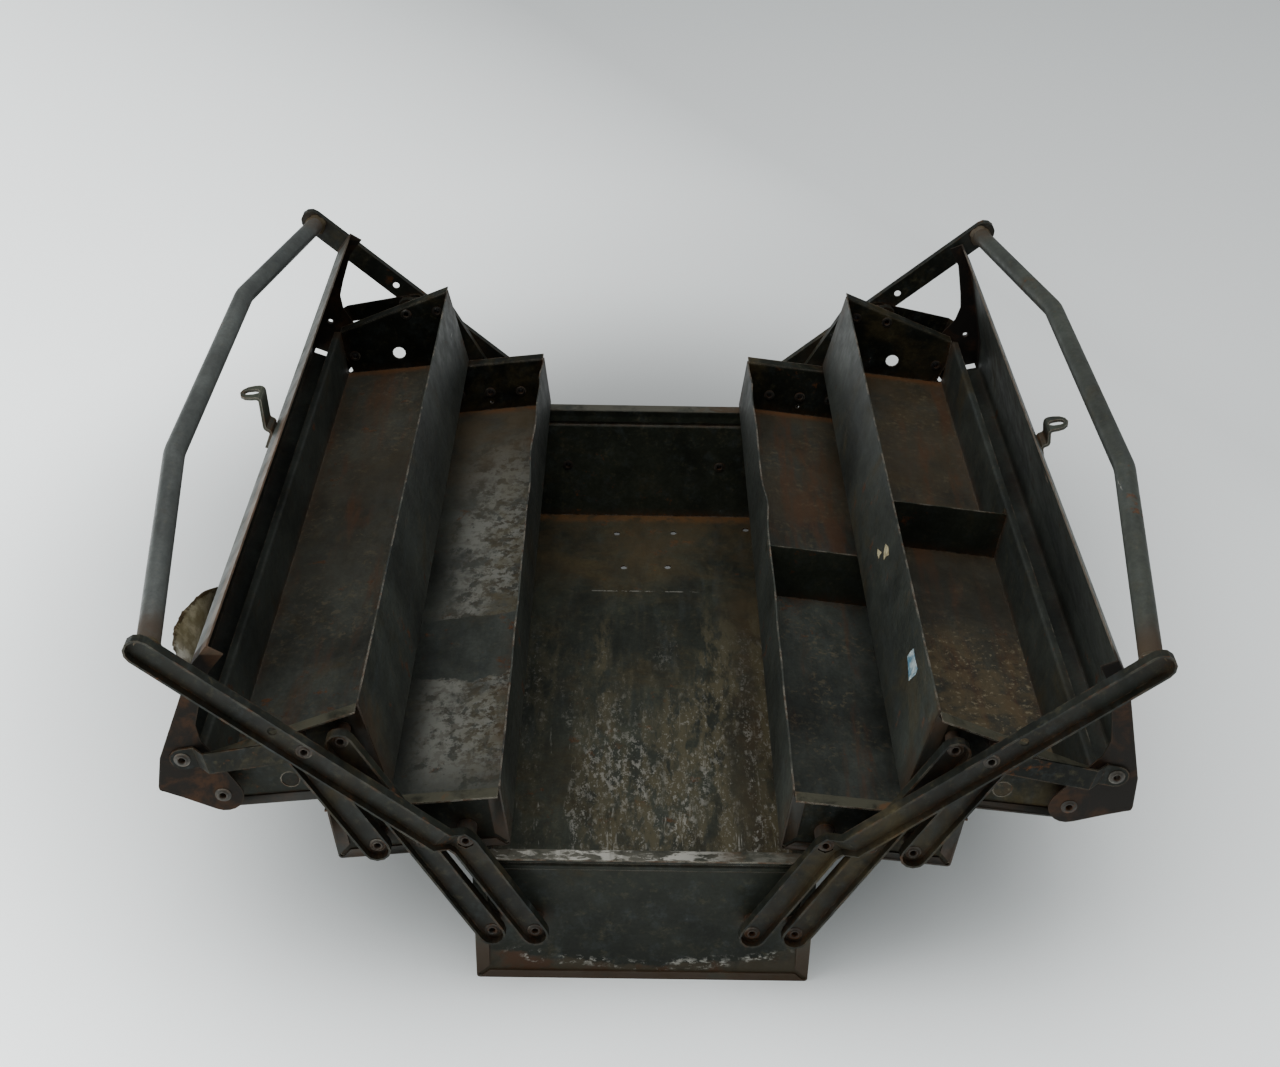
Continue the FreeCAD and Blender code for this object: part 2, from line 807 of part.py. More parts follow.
def rect_section(width, height):
    return [place(0, height), place(0, 0), place(width, 0), place(width, height)]


base_section = [
    (base_width / 2, base_height),
    (base_width / 2, 0),
    (-base_width / 2, 0),
    (-base_width / 2, base_height),
]
lower_section = rect_section(lower_tray_width, lower_tray_height)
upper_section = [
    place(upper_inner_lean, upper_inner_height),
    place(0, 0),
    place(upper_tray_width, 0),
    place(upper_tray_width, upper_outer_height),
]


def holed(panel, places, radius, sides=hole_sides):
    for centre in places:
        panel = panel.cut(pivot_hole(centre, radius, sides))
    return panel


def build_base():
    nodes = {}
    body = trough(base_section, base_lip_drop)
    holes = [(across, body_length / 2 - from_back) for across, from_back in floor_hole_places]
    holes.append((base_width / 2 - corner_hole_inset, body_length / 2 - corner_hole_from_back))
    for hole in holes:
        corners = [V(a, b, -overrun) for a, b in ring(hole, floor_hole_radius, open_hole_sides)]
        body = body.cut(solid_of(closed_wire(corners), V(0, 0, sheet + 2 * overrun)))
    pivots = [P1, P2, (-P1[0], P1[1]), (-P2[0], P2[1])]
    panel = holed(end_panel(base_section, True), pivots, rivet_shank + seat)
    nodes["base_body"] = body
    nodes["base_end_front"] = panel
    nodes["base_end_back"] = mirrored_back(panel)
    bases = [lip_layer, seat, lip_layer, seat]
    rivets = [panel_rivet(point, base=base) for point, base in zip(pivots, bases)]
    nodes["base_pivot_rivets"] = both_ends(Part.makeCompound(rivets))
    return nodes


def lid_rivets(state):
    over = web_layer + strap_sheet + running_gap
    return both_ends(rivet(state["C3"], lid_plate_layer, over, inner_head=False))


def build_left(open_angle, hasp_knee, hasp_tip):
    """All pieces of the left side with its lid open by the given angle."""
    state = linkage(0.0, open_angle)
    nodes = {}
    arm = handle_arm(state)
    nodes["handle_arm_front"] = arm
    nodes["handle_arm_back"] = mirrored_back(arm)
    nodes["handle_tube"] = handle_tube(state)
    pin = rivet(state["C1"], strap_layer - running_gap, arm_outer + seat)
    nodes["handle_strap_rivets"] = both_ends(pin)
    long_link = straight_link([P1, state["A1"], state["A2"]])
    nodes["long_link_front"] = long_link
    nodes["long_link_back"] = mirrored_back(long_link)
    short_link = straight_link([state["B1"], state["B2"]])
    nodes["short_link_front"] = short_link
    nodes["short_link_back"] = mirrored_back(short_link)

    body = trough(lower_section, tray_lip_drop)
    places = [A1_LOCAL, B1_LOCAL, H1_LOCAL]
    panel = holed(end_panel(lower_section, False), places, rivet_shank + seat)
    panel = holed(panel, [plus(A1_LOCAL, (0, -small_hole_drop))], small_hole_radius)
    pins = [panel_rivet(A1_LOCAL), panel_rivet(B1_LOCAL), panel_rivet(H1_LOCAL, arm_pivot_shoulder)]
    pins = both_ends(Part.makeCompound(pins))
    spot = (state["lower"], state["tilt"])
    nodes["lower_tray_body"] = set_down(body, *spot)
    nodes["lower_tray_end_front"] = set_down(panel, *spot)
    nodes["lower_tray_end_back"] = set_down(mirrored_back(panel), *spot)
    nodes["lower_tray_rivets"] = set_down(pins, *spot)

    body = trough(upper_section, tray_lip_drop, upper_flange_width)
    hole = pivot_hole(L_LOCAL, rivet_shank + seat)
    body = body.cut(hole).cut(mirrored_back(hole))
    places = [A2_LOCAL, B2_LOCAL]
    panel = holed(end_panel(upper_section, False), places + [L_LOCAL], rivet_shank + seat)
    plain = [place(plain_hole_out, plain_hole_up)]
    panel = holed(panel, plain, plain_hole_radius, open_hole_sides)
    pins = [panel_rivet(point) for point in places]
    lid_face = lid_plate_layer + sheet + running_gap
    shoulder = (rivet_shoulder, lip_layer, lid_plate_layer - running_gap)
    pins.append(rivet(L_LOCAL, -sheet, lid_face, shoulder))
    pins = both_ends(Part.makeCompound(pins))
    spot = (state["upper"], state["tilt"])
    nodes["upper_tray_body"] = set_down(body, *spot)
    nodes["upper_tray_end_front"] = set_down(panel, *spot)
    nodes["upper_tray_end_back"] = set_down(mirrored_back(panel), *spot)
    nodes["upper_tray_rivets"] = set_down(pins, *spot)

    opening = tray_droop_angle - open_angle
    for name, shape in (("lid_cover", lid_cover()), ("lid_hasp", lid_hasp(hasp_knee, hasp_tip))):
        nodes[name] = swung(set_down(shape, *spot), state["L"], opening)
    nodes["lid_strap_rivets"] = lid_rivets(state)
    bar = strap(state, open_angle)
    nodes["strap_front"] = bar
    nodes["strap_back"] = mirrored_back(bar)
    return nodes, state


os.makedirs("parts", exist_ok=True)
nodes = build_base()
left, left_state = build_left(
    lid_left_open_angle,
    place(left_hasp_knee_out, left_hasp_knee_up),
    place(left_hasp_tip_out, left_hasp_tip_up),
)
right, right_state = build_left(
    lid_right_open_angle,
    place(right_hasp_knee_out, right_hasp_knee_up),
    place(right_hasp_tip_out, right_hasp_tip_up),
)
for name, shape in left.items():
    nodes["left_" + name] = shape
for name, shape in right.items():
    nodes["right_" + name] = mirrored_right(shape)
level_top = place(upper_inner_lean * upper_outer_height / upper_inner_height, upper_outer_height)
upper_divider = divider([level_top] + upper_section[1:], upper_divider_place, divider_drop)
upper_divider = set_down(upper_divider, right_state["upper"], right_state["tilt"])
nodes["right_upper_tray_divider"] = mirrored_right(upper_divider)
lower_divider = divider(lower_section, lower_divider_place, divider_drop)
lower_divider = set_down(lower_divider, right_state["lower"], right_state["tilt"])
nodes["right_lower_tray_divider"] = mirrored_right(lower_divider)

for name, shape in nodes.items():
    shape.exportStep("parts/" + name + ".step")

for side, state, lid_open in (
    ("left", left_state, lid_left_open_angle),
    ("right", right_state, lid_right_open_angle),
):
    track, turn = strap_track(lid_open)
    print(side, "travel", round(travel, 3), "tray", -tray_droop_angle, "lid", lid_open - tray_droop_angle)
    print(side, "strap turn", round(turn, 3), "relative to lid", round(turn - lid_open, 3))
    for key in ("A1", "A2", "B1", "B2", "H1", "L", "C3", "C1", "T"):
        print(side, key, [round(value, 3) for value in state[key]])
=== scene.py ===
import bmesh
import bpy
import math
from mathutils import Matrix, Vector
from mathutils.bvhtree import BVHTree


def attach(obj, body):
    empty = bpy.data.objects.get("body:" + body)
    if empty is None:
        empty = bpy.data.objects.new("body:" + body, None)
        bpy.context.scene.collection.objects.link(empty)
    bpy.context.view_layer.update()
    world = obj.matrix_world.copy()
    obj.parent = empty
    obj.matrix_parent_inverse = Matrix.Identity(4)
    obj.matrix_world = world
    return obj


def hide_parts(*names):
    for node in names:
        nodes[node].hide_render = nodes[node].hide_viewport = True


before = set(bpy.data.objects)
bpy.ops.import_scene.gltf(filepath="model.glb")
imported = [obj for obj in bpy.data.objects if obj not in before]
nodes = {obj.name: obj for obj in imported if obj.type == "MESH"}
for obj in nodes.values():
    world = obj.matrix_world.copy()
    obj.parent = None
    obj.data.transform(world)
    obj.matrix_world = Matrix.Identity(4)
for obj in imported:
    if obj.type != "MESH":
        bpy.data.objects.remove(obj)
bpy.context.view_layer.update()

MM = 0.001
SIDES = ("left", "right")
ENDS = ("front", "back")


def rgb(red, green, blue):
    """A colour as a shader node takes it, with its alpha."""
    return (red, green, blue, 1.0)


# Colours of the paint
DARK = rgb(0.0125, 0.0145, 0.0105)
LIGHT = rgb(0.034, 0.038, 0.027)
WALL_DARK = rgb(0.0126, 0.0142, 0.0120)
WALL_LIGHT = rgb(0.033, 0.037, 0.031)
BLUE_GREY = rgb(0.032, 0.039, 0.039)
TUBE_DARK = rgb(0.036, 0.040, 0.037)
TUBE_LIGHT = rgb(0.062, 0.068, 0.063)
OLIVE_TUBE_DARK = rgb(0.019, 0.022, 0.018)
OLIVE_TUBE_LIGHT = rgb(0.037, 0.041, 0.033)
RIVET_DARK = rgb(0.011, 0.010, 0.008)
RIVET_LIGHT = rgb(0.030, 0.026, 0.021)
WELD_DARK = rgb(0.045, 0.036, 0.028)
WELD_LIGHT = rgb(0.09, 0.07, 0.05)

# Colours of grime and rust
HAZE = rgb(0.043, 0.033, 0.0145)
TAN = rgb(0.082, 0.072, 0.037)
RUST = rgb(0.110, 0.042, 0.013)
DEEP_RUST = rgb(0.042, 0.021, 0.011)
OLIVE_FILM = rgb(0.080, 0.069, 0.038)
BASE_BROWN = rgb(0.054, 0.036, 0.016)
BASE_ORANGE = rgb(0.115, 0.055, 0.020)
FOOT_BROWN = rgb(0.040, 0.024, 0.013)
STRIP_BROWN = rgb(0.044, 0.035, 0.021)
STRIP_RUST = rgb(0.046, 0.020, 0.009)
RIM_BROWN = rgb(0.050, 0.030, 0.015)
RIM_OLIVE = rgb(0.052, 0.050, 0.035)
RIM_RUST = rgb(0.085, 0.042, 0.018)
TRAY_BACK_BROWN = rgb(0.056, 0.040, 0.021)
TRAY_SPECK_BROWN = rgb(0.036, 0.028, 0.017)
TRAY_OLIVE = rgb(0.092, 0.080, 0.048)
TRAY_SIDE_RUST = rgb(0.075, 0.040, 0.018)
TRAY_END_ORANGE = rgb(0.120, 0.050, 0.017)
TRAY_WALL_BROWN = rgb(0.036, 0.020, 0.010)
LIP_BLACK = rgb(0.011, 0.0098, 0.0070)
FLOOR_BROWN = rgb(0.050, 0.034, 0.016)
FLOOR_SPECKLE = rgb(0.105, 0.085, 0.050)
FLOOR_STREAK = rgb(0.062, 0.027, 0.012)
FLOOR_SAND = rgb(0.080, 0.060, 0.031)
FLOOR_GRIT = rgb(0.16, 0.135, 0.085)
FLOOR_SOOT = rgb(0.013, 0.013, 0.010)
LID_SHEET_EDGE = rgb(0.14, 0.095, 0.065)
LID_END_BLACK = rgb(0.0075, 0.0058, 0.0042)
LID_END_RUST = rgb(0.038, 0.017, 0.007)
LID_END_WORN = rgb(0.045, 0.034, 0.022)
LID_LIP_BROWN = rgb(0.050, 0.036, 0.024)
LID_LIP_RUST = rgb(0.105, 0.062, 0.038)
TUBE_END_BROWN = rgb(0.040, 0.024, 0.012)

# Colours of bare and worn metal
SILVER = rgb(0.40, 0.39, 0.35)
WHITISH = rgb(0.205, 0.205, 0.178)
DULL_METAL = rgb(0.066, 0.066, 0.056)
FLAKE = rgb(0.33, 0.32, 0.28)
RIM_GREY = rgb(0.072, 0.069, 0.054)
RIM_SILVER = rgb(0.36, 0.35, 0.31)
EDGE = rgb(0.23, 0.205, 0.165)
LINK_EDGE = rgb(0.085, 0.075, 0.055)
STRAP_EDGE = rgb(0.085, 0.070, 0.050)
RIVET_EDGE = rgb(0.17, 0.155, 0.125)

# Colours of paper
LABEL_PALE = rgb(0.30, 0.27, 0.18)
LABEL_STAIN = rgb(0.16, 0.135, 0.075)
LABEL_WHITE = rgb(0.62, 0.60, 0.52)
LABEL_TORN = rgb(0.045, 0.028, 0.013)
BLUE_PALE = rgb(0.42, 0.47, 0.46)
BLUE_STAIN = rgb(0.07, 0.16, 0.22)
YELLOW_PALE = rgb(0.46, 0.41, 0.25)
YELLOW_STAIN = rgb(0.20, 0.165, 0.09)

# Places on the part, in millimetres
UNDER_IT_ALL = -1000
LOW_FLOOR_TOP = 112
HIGH_FLOOR_TOP = 148


# Materials
class Paint:
    """A material as a tree of nodes, with places in the part's own metres."""

    def __init__(self, name):
        self.material = bpy.data.materials.new(name)
        self.material.use_nodes = True
        self.tree = self.material.node_tree
        self.tree.nodes.clear()
        coords = self.tree.nodes.new("ShaderNodeTexCoord")
        self.place = coords.outputs["Object"]
        self.facing = coords.outputs["Normal"]
        self.x, self.y, self.z = self.split(self.place)
        # at is the place moved by a material's own shift, and worn its mask of worn edges
        self.at = self.place
        self.worn = 0.0
        self.colour = DARK
        self.rough = 0.9
        self.metal = 0.0
        self.height = 0.0

    def link(self, value, socket):
        """Connects a socket, or sets a plain number or colour."""
        if isinstance(value, bpy.types.NodeSocket):
            self.tree.links.new(value, socket)
        else:
            socket.default_value = value

    def split(self, vector):
        node = self.tree.nodes.new("ShaderNodeSeparateXYZ")
        self.link(vector, node.inputs[0])
        return node.outputs[0], node.outputs[1], node.outputs[2]

    def calc(self, kind, a, b=0.0, c=0.0):
        node = self.tree.nodes.new("ShaderNodeMath")
        node.operation = kind
        for socket, value in zip(node.inputs, (a, b, c)):
            self.link(value, socket)
        return node.outputs[0]

    def plus(self, a, b):
        return self.calc("ADD", a, b)

    def minus(self, a, b):
        return self.calc("SUBTRACT", a, b)

    def size(self, value):
        return self.calc("ABSOLUTE", value)

    def inverse(self, mask):
        return self.minus(1.0, mask)

    def times(self, *values):
        result = values[0]
        for value in values[1:]:
            result = self.calc("MULTIPLY", result, value)
        return result

    def either(self, *values):
        result = values[0]
        for value in values[1:]:
            result = self.calc("MAXIMUM", result, value)
        return result

    def ramp(self, value, start, end, low=0.0, high=1.0):
        """Low where the value is at start, high where it is at end, with a smooth way between."""
        node = self.tree.nodes.new("ShaderNodeMapRange")
        node.interpolation_type = "SMOOTHSTEP"
        limits = {"From Min": start, "From Max": end, "To Min": low, "To Max": high}
        for key, amount in limits.items():
            self.link(amount, node.inputs[key])
        self.link(value, node.inputs["Value"])
        return node.outputs[0]

    def fade(self, value, start, end, low=0.0, high=1.0):
        """A ramp over a place, with its start and end in millimetres."""
        return self.ramp(value, start * MM, end * MM, low, high)

    def band(self, value, start, end, soft):
        """1 between start and end, 0 outside them, all in millimetres."""
        rise = self.fade(value, start - soft, start + soft)
        fall = self.fade(value, end - soft, end + soft, 1.0, 0.0)
        return self.times(rise, fall)

    def distance(self, x, y):
        """How far a place is from the upright line at x and y."""
        from_x = self.calc("POWER", self.minus(self.x, x), 2.0)
        from_y = self.calc("POWER", self.minus(self.y, y), 2.0)
        return self.calc("SQRT", self.plus(from_x, from_y))

    def mix(self, a, b, amount):
        node = self.tree.nodes.new("ShaderNodeMix")
        node.data_type = "RGBA"
        self.link(amount, node.inputs[0])
        self.link(a, node.inputs[6])
        self.link(b, node.inputs[7])
        return node.outputs[2]

    def stretched(self, scale, shift=(0.0, 0.0, 0.0)):
        node = self.tree.nodes.new("ShaderNodeMapping")
        self.link(self.place, node.inputs["Vector"])
        node.inputs["Scale"].default_value = scale
        node.inputs["Location"].default_value = shift
        return node.outputs[0]

    def noise(self, scale, detail=4.0, rough=0.6, at=None, twist=0.0):
        node = self.tree.nodes.new("ShaderNodeTexNoise")
        self.link(self.place if at is None else at, node.inputs["Vector"])
        node.inputs["Scale"].default_value = scale
        node.inputs["Detail"].default_value = detail
        node.inputs["Roughness"].default_value = rough
        node.inputs["Distortion"].default_value = twist
        return node.outputs["Fac"]

    def patches(self, scale, start, end, at=None, detail=6.0, twist=0.4):
        """Ragged patches: noise cut off between start and end."""
        return self.ramp(self.noise(scale, detail, 0.7, at, twist), start, end)

    def edges(self, radius):
        """1 on sharp edges, 0 on flat sheet."""
        bevel = self.tree.nodes.new("ShaderNodeBevel")
        bevel.samples = 4
        bevel.inputs["Radius"].default_value = radius
        plain = self.tree.nodes.new("ShaderNodeNewGeometry")
        dot = self.tree.nodes.new("ShaderNodeVectorMath")
        dot.operation = "DOT_PRODUCT"
        self.link(bevel.outputs[0], dot.inputs[0])
        self.link(plain.outputs["Normal"], dot.inputs[1])
        return self.ramp(dot.outputs["Value"], 0.80, 0.995, 1.0, 0.0)

    def corners(self, reach):
        """1 deep in the corner between two sheets, 0 in the open."""
        node = self.tree.nodes.new("ShaderNodeAmbientOcclusion")
        node.samples = 4
        node.inputs["Distance"].default_value = reach
        return self.ramp(node.outputs["AO"], 0.35, 0.95, 1.0, 0.0)

    def upward(self):
        """1 on faces that look up, 0 on walls and undersides."""
        return self.ramp(self.split(self.facing)[2], 0.55, 0.85)

    def cover(self, colour, *masks):
        """Lays a colour over the material where all the masks are high."""
        self.colour = self.mix(self.colour, colour, self.times(*masks))

    def shade(self, amount):
        """Makes the material darker or lighter by a share."""
        node = self.tree.nodes.new("ShaderNodeVectorMath")
        node.operation = "SCALE"
        self.link(self.colour, node.inputs[0])
        self.link(amount, node.inputs["Scale"])
        self.colour = node.outputs["Vector"]

    def strip(self, colour, marks, amount, shine, step):
        """Takes the paint off at the marks: bare metal, shinier and a step lower."""
        self.cover(colour, marks, amount)
        self.metal = self.either(self.metal, self.times(marks, shine))
        self.height = self.minus(self.height, self.times(marks, step))

    def finish(self, depth, gloss=0.2):
        """Joins what was laid down into the shader. Depth is the relief of the bump."""
        shader = self.tree.nodes.new("ShaderNodeBsdfPrincipled")
        self.link(self.colour, shader.inputs["Base Color"])
        self.link(self.rough, shader.inputs["Roughness"])
        self.link(self.metal, shader.inputs["Metallic"])
        shader.inputs["Specular IOR Level"].default_value = gloss
        bump = self.tree.nodes.new("ShaderNodeBump")
        bump.inputs["Strength"].default_value = 0.6
        bump.inputs["Distance"].default_value = depth
        self.link(self.height, bump.inputs["Height"])
        self.link(bump.outputs[0], shader.inputs["Normal"])
        out = self.tree.nodes.new("ShaderNodeOutputMaterial")
        self.link(shader.outputs[0], out.inputs["Surface"])
        return self.material


def worn_paint(name, look=None, tone=1.0, base=(DARK, LIGHT), haze=0.4, rust=0.3, chips=0.1, rim=0.5,
               grime=0.6, gloss=0.2, worn_to=EDGE, shift=0.0):
    """Old paint on sheet steel, on a base from dark to light.

    haze, rust, chips, rim and grime say how much there is of each, and worn_to is the colour of worn
    edges. The look adds what only one piece has, and shift moves the patterns.
    """
    p = Paint(name)
    p.at = p.stretched((1.0, 1.0, 1.0), (shift, shift * 0.7, shift * 1.3))
    long_way = p.stretched((3.0, 0.35, 3.0), (shift, 0.0, shift))
    clouds = p.noise(9.0, 5.0, 0.62, p.at, 0.3)
    fine = p.noise(70.0, 6.0, 0.7, p.at)
    grain = p.noise(420.0, 3.0, 0.6, p.at)
    streaks = p.noise(30.0, 6.0, 0.7, long_way)

    dark, light = (rgb(*(tone * value for value in colour[:3])) for colour in base)
    p.colour = p.mix(dark, light, p.ramp(clouds, 0.30, 0.72))
    p.cover(BLUE_GREY, p.ramp(streaks, 0.48, 0.75), 0.45)
    brown = p.ramp(p.noise(14.0, 6.0, 0.7, p.at, 0.6), 0.62 - haze * 0.3, 0.86 - haze * 0.3)
    p.cover(HAZE, brown, 0.85)
    p.cover(TAN, p.ramp(p.noise(150.0, 6.0, 0.75, p.at), 0.52, 0.75), 0.22 + 0.3 * haze)

    cloudy = p.ramp(clouds, 0.2, 0.8, 0.8, 1.15)
    spots = p.ramp(p.times(fine, cloudy), 0.66 - rust * 0.16, 0.74 - rust * 0.12)
    rusty = p.mix(RUST, DEEP_RUST, p.ramp(grain, 0.35, 0.65))
    p.cover(rusty, spots, 0.75)
    scratches = p.ramp(streaks, 0.72 - chips * 0.18, 0.76 - chips * 0.16)
    bare = p.times(scratches, p.ramp(grain, 0.36, 0.5))
    p.cover(SILVER, bare, 0.6)

    blotches = p.noise(42.0, 9.0, 0.78, p.stretched((1.0, 0.45, 1.0), (shift, 0.0, 0.0)))
    less_on_walls = p.ramp(p.upward(), 0.0, 1.0, 0.5, 1.0)
    mottling = p.calc("MULTIPLY_ADD", p.ramp(blotches, 0.30, 0.70, -0.34, 0.36), less_on_walls, 1.0)
    p.shade(p.times(mottling, p.ramp(grain, 0.3, 0.7, 0.88, 1.12)))

    corner = p.times(p.corners(9.0 * MM), p.ramp(p.noise(26.0, 5.0, 0.7, p.at), 0.30, 0.62))
    p.cover(rusty, corner, grime)
    broken = p.ramp(p.noise(55.0, 5.0, 0.7, p.at), 0.62 - rim * 0.35, 0.76 - rim * 0.35)
    p.worn = p.times(p.edges(1.5 * MM), broken)
    p.cover(p.mix(worn_to, RUST, p.ramp(p.noise(120.0, 4.0, 0.7, p.at), 0.45, 0.65)), p.worn, 0.75)

    p.rough = p.plus(p.ramp(fine, 0.3, 0.7, 0.44, 0.62), p.times(p.either(spots, brown), 0.2))
    p.metal = p.times(p.either(bare, p.times(p.worn, 0.5)), 0.6)
    p.height = p.plus(p.times(grain, 0.25), p.times(spots, 0.5))
    p.height = p.minus(p.height, p.times(bare, 0.6))
    if look is not None:
        look(p)
    return p.finish(0.25 * MM, gloss)


def base_look(p):
    """The floor of the base: brown at the back, olive streaks and bare flakes to the front."""
    floor = p.times(p.upward(), p.band(p.z, UNDER_IT_ALL, 5, 1))
    brown = p.either(p.fade(p.x, 45, 88), p.fade(p.y, 120, 240))
    p.cover(BASE_BROWN, floor, brown, p.patches(18.0, 0.30, 0.62, p.at), 0.7)
    p.cover(BASE_ORANGE, floor, p.fade(p.y, 249, 258), p.patches(70.0, 0.36, 0.55), 0.7)
    foot = p.times(p.fade(p.size(p.y), 262.8, 264.2), p.band(p.z, UNDER_IT_ALL, 30, 8))
    p.cover(FOOT_BROWN, foot, p.patches(30.0, 0.25, 0.5, p.at), 0.85)

    columns = p.patches(30.0, 0.40, 0.58, p.stretched((1.0, 0.09, 1.0), (0.7, 0.0, 0.0)), 3.0, 0.1)
    broken = p.patches(95.0, 0.42, 0.56, p.stretched((1.0, 0.32, 1.0)), 11.0, 0.2)
    olive = p.times(columns, broken, p.fade(p.y, 190, 30), p.fade(p.x, -85, -20, 0.35, 1.0))
    p.cover(OLIVE_FILM, floor, olive, 0.8)

    fields = p.patches(30.0, 0.50, 0.62, p.stretched((1.0, 0.22, 1.0), (3.1, 1.7, 0.0)), 4.0)
    flakes = p.patches(230.0, 0.540, 0.585, p.stretched((1.0, 0.55, 1.0), (1.9, 0.3, 0.0)), 13.0, 0.15)
    flakes = p.times(flakes, fields, p.fade(p.y, 110, -150), p.fade(p.x, -70, 0, 0.6, 1.0))
    grit = p.patches(430.0, 0.545, 0.60, p.stretched((1.0, 0.5, 1.0)), 7.0, 0.0)
    grit = p.times(grit, p.either(olive, fields), p.fade(p.y, 150, -50), 0.6)
    lines = p.patches(200.0, 0.60, 0.64, p.stretched((1.0, 0.05, 1.0), (0.4, 0.0, 0.0)), 5.0, 0.0)
    lines = p.times(lines, p.patches(60.0, 0.45, 0.6), p.fade(p.y, 40, -120), 0.8)
    across = p.times(p.band(p.y, 148.2, 149.6, 0.3), p.band(p.x, -43, 43, 4))
    across = p.times(across, p.patches(150.0, 0.47, 0.56), 0.55)
    marks = p.times(floor, p.either(flakes, grit, lines, across))
    p.strip(FLAKE, marks, 0.8, 0.45, 0.5)
    p.rough = p.minus(p.rough, p.times(marks, 0.12))


def base_end_look(p):
    """The base's end panels: chipped silver rim, and a brown bare strip along the foot."""
    outside = p.ramp(p.times(p.split(p.facing)[1], p.y), 0.10, 0.16)
    sag = p.calc("MULTIPLY_ADD", p.times(p.x, p.x), -1.6, 13 * MM)
    uneven = p.ramp(p.noise(60.0, 5.0, 0.7), 0.2, 0.8, -4 * MM, 4 * MM)
    level = p.plus(p.plus(p.z, sag), uneven)
    foot = p.times(outside, p.fade(level, 22, 26, 1.0, 0.0))
    p.cover(STRIP_BROWN, foot, p.patches(40.0, 0.25, 0.55), 0.75)
    p.cover(STRIP_RUST, foot, p.patches(24.0, 0.50, 0.62, p.at), 0.8)

    line = p.times(outside, p.fade(level, 19, 22.5), p.fade(level, 24.5, 30, 1.0, 0.0))
    chips = p.patches(240.0, 0.52, 0.58, p.stretched((0.7, 1.0, 1.0)), 12.0)
    chips = p.times(line, p.band(p.x, -78, 86, 10), chips, p.patches(50.0, 0.40, 0.55), 0.75)

    rim = p.times(p.upward(), p.fade(p.z, 99, 101))
    p.cover(RIM_GREY, rim, p.patches(40.0, 0.30, 0.55), 0.8)
    p.cover(RIM_BROWN, rim, p.fade(p.x, 30, 60), p.patches(55.0, 0.42, 0.58), 0.8)
    front_rim = p.times(rim, p.fade(p.y, -200, 200, 1.0, 0.0))
    flaked = p.patches(190.0, 0.49, 0.56, p.stretched((0.38, 1.0, 1.0)), 12.0)
    runs = p.patches(33.0, 0.34, 0.54, p.stretched((1.0, 0.1, 0.1), (0.9, 0.0, 0.0)))
    silver = p.times(front_rim, flaked, runs, p.fade(p.x, 60, 10, 0.12, 1.0))

    # Painted light: the inside face of the back panel, below its rim, is made 1.7 times lighter than the
    # rest of the sheet.
    back_inside_painted_light = p.times(p.inverse(outside), p.fade(p.y, 100, 200), p.fade(p.z, 99, 96))
    p.shade(p.ramp(back_inside_painted_light, 0.0, 1.0, 1.0, 1.7))
    p.strip(RIM_SILVER, p.either(chips, silver), 0.85, 0.5, 0.5)


def rusty_ends(p, floor):
    """Rust where the sheet meets the end panels: orange on the floor, dark lips, brown walls."""
    y = p.size(p.y)
    p.cover(TRAY_END_ORANGE, floor, p.fade(y, 252, 262), p.patches(60.0, 0.34, 0.52), 0.6)
    p.cover(LIP_BLACK, p.fade(y, 262.8, 264.2), 0.85)
    walls = p.times(p.inverse(floor), p.fade(y, 238, 262))
    p.cover(TRAY_WALL_BROWN, walls, p.patches(38.0, 0.40, 0.62, detail=9.0), 0.7)


def mottled_floor(p):
    """The lower left tray: paint worn off the floor, but for a clean band across it."""
    floor = p.times(p.upward(), p.fade(p.z, LOW_FLOOR_TOP, LOW_FLOOR_TOP + 2, 1.0, 0.0))
    wave = p.ramp(p.noise(38.0, 4.0, 0.65), 0.2, 0.8, -7 * MM, 7 * MM)
    slope = p.calc("MULTIPLY_ADD", p.x, 0.075, -25.2 * MM)
    back_line = p.plus(slope, p.times(wave, 0.25))
    dip = p.size(p.plus(p.x, 117 * MM))
    front_line = p.plus(p.calc("MULTIPLY_ADD", dip, 0.5, -110 * MM), wave)
    behind = p.fade(p.minus(p.y, back_line), -0.6, 0.9)
    behind = p.times(behind, p.fade(p.y, 245, 60, 0.05, 1.0), p.fade(p.x, -155, -115, 0.15, 1.0))
    front = p.fade(p.minus(front_line, p.y), -0.8, 1.2)
    front = p.times(front, p.fade(p.y, -225, -165, 0.10, 1.0), p.fade(p.x, -158, -130, 0.3, 1.0))
    zone = p.times(floor, p.either(behind, front))

    p.cover(TRAY_BACK_BROWN, floor, p.fade(p.y, 70, 200), p.patches(22.0, 0.28, 0.60, p.at), 0.75)
    p.cover(DULL_METAL, zone, p.patches(12.0, 0.20, 0.52, p.at), 0.5)
    fields = p.patches(24.0, 0.36, 0.54, p.stretched((1.0, 0.8, 1.0), (2.2, 0.4, 0.0)), 5.0, 0.2)
    flakes = p.patches(95.0, 0.43, 0.50, p.stretched((1.0, 0.8, 1.0), (1.2, 0.4, 0.0)), 12.0, 0.1)
    p.strip(WHITISH, p.times(zone, fields, flakes, p.fade(p.x, -152, -125)), 0.78, 0.35, 0.6)

    specks = p.times(zone, p.patches(170.0, 0.50, 0.56, detail=11.0, twist=0.1))
    p.cover(TRAY_SPECK_BROWN, specks, p.fade(p.x, -130, -95, 0.45, 1.0), 0.9)
    by_wall = p.times(zone, p.fade(p.x, -125, -100))
    p.cover(TRAY_OLIVE, by_wall, p.patches(60.0, 0.42, 0.60, detail=9.0), 0.6)
    rusty_part = p.either(p.fade(p.y, 130, 200), p.fade(p.y, -30, -100))
    rusty_side = p.times(floor, p.fade(p.x, -102, -80), rusty_part)
    p.cover(TRAY_SIDE_RUST, rusty_side, p.patches(50.0, 0.42, 0.60, p.at, 9.0), 0.6)
    rusty_ends(p, floor)


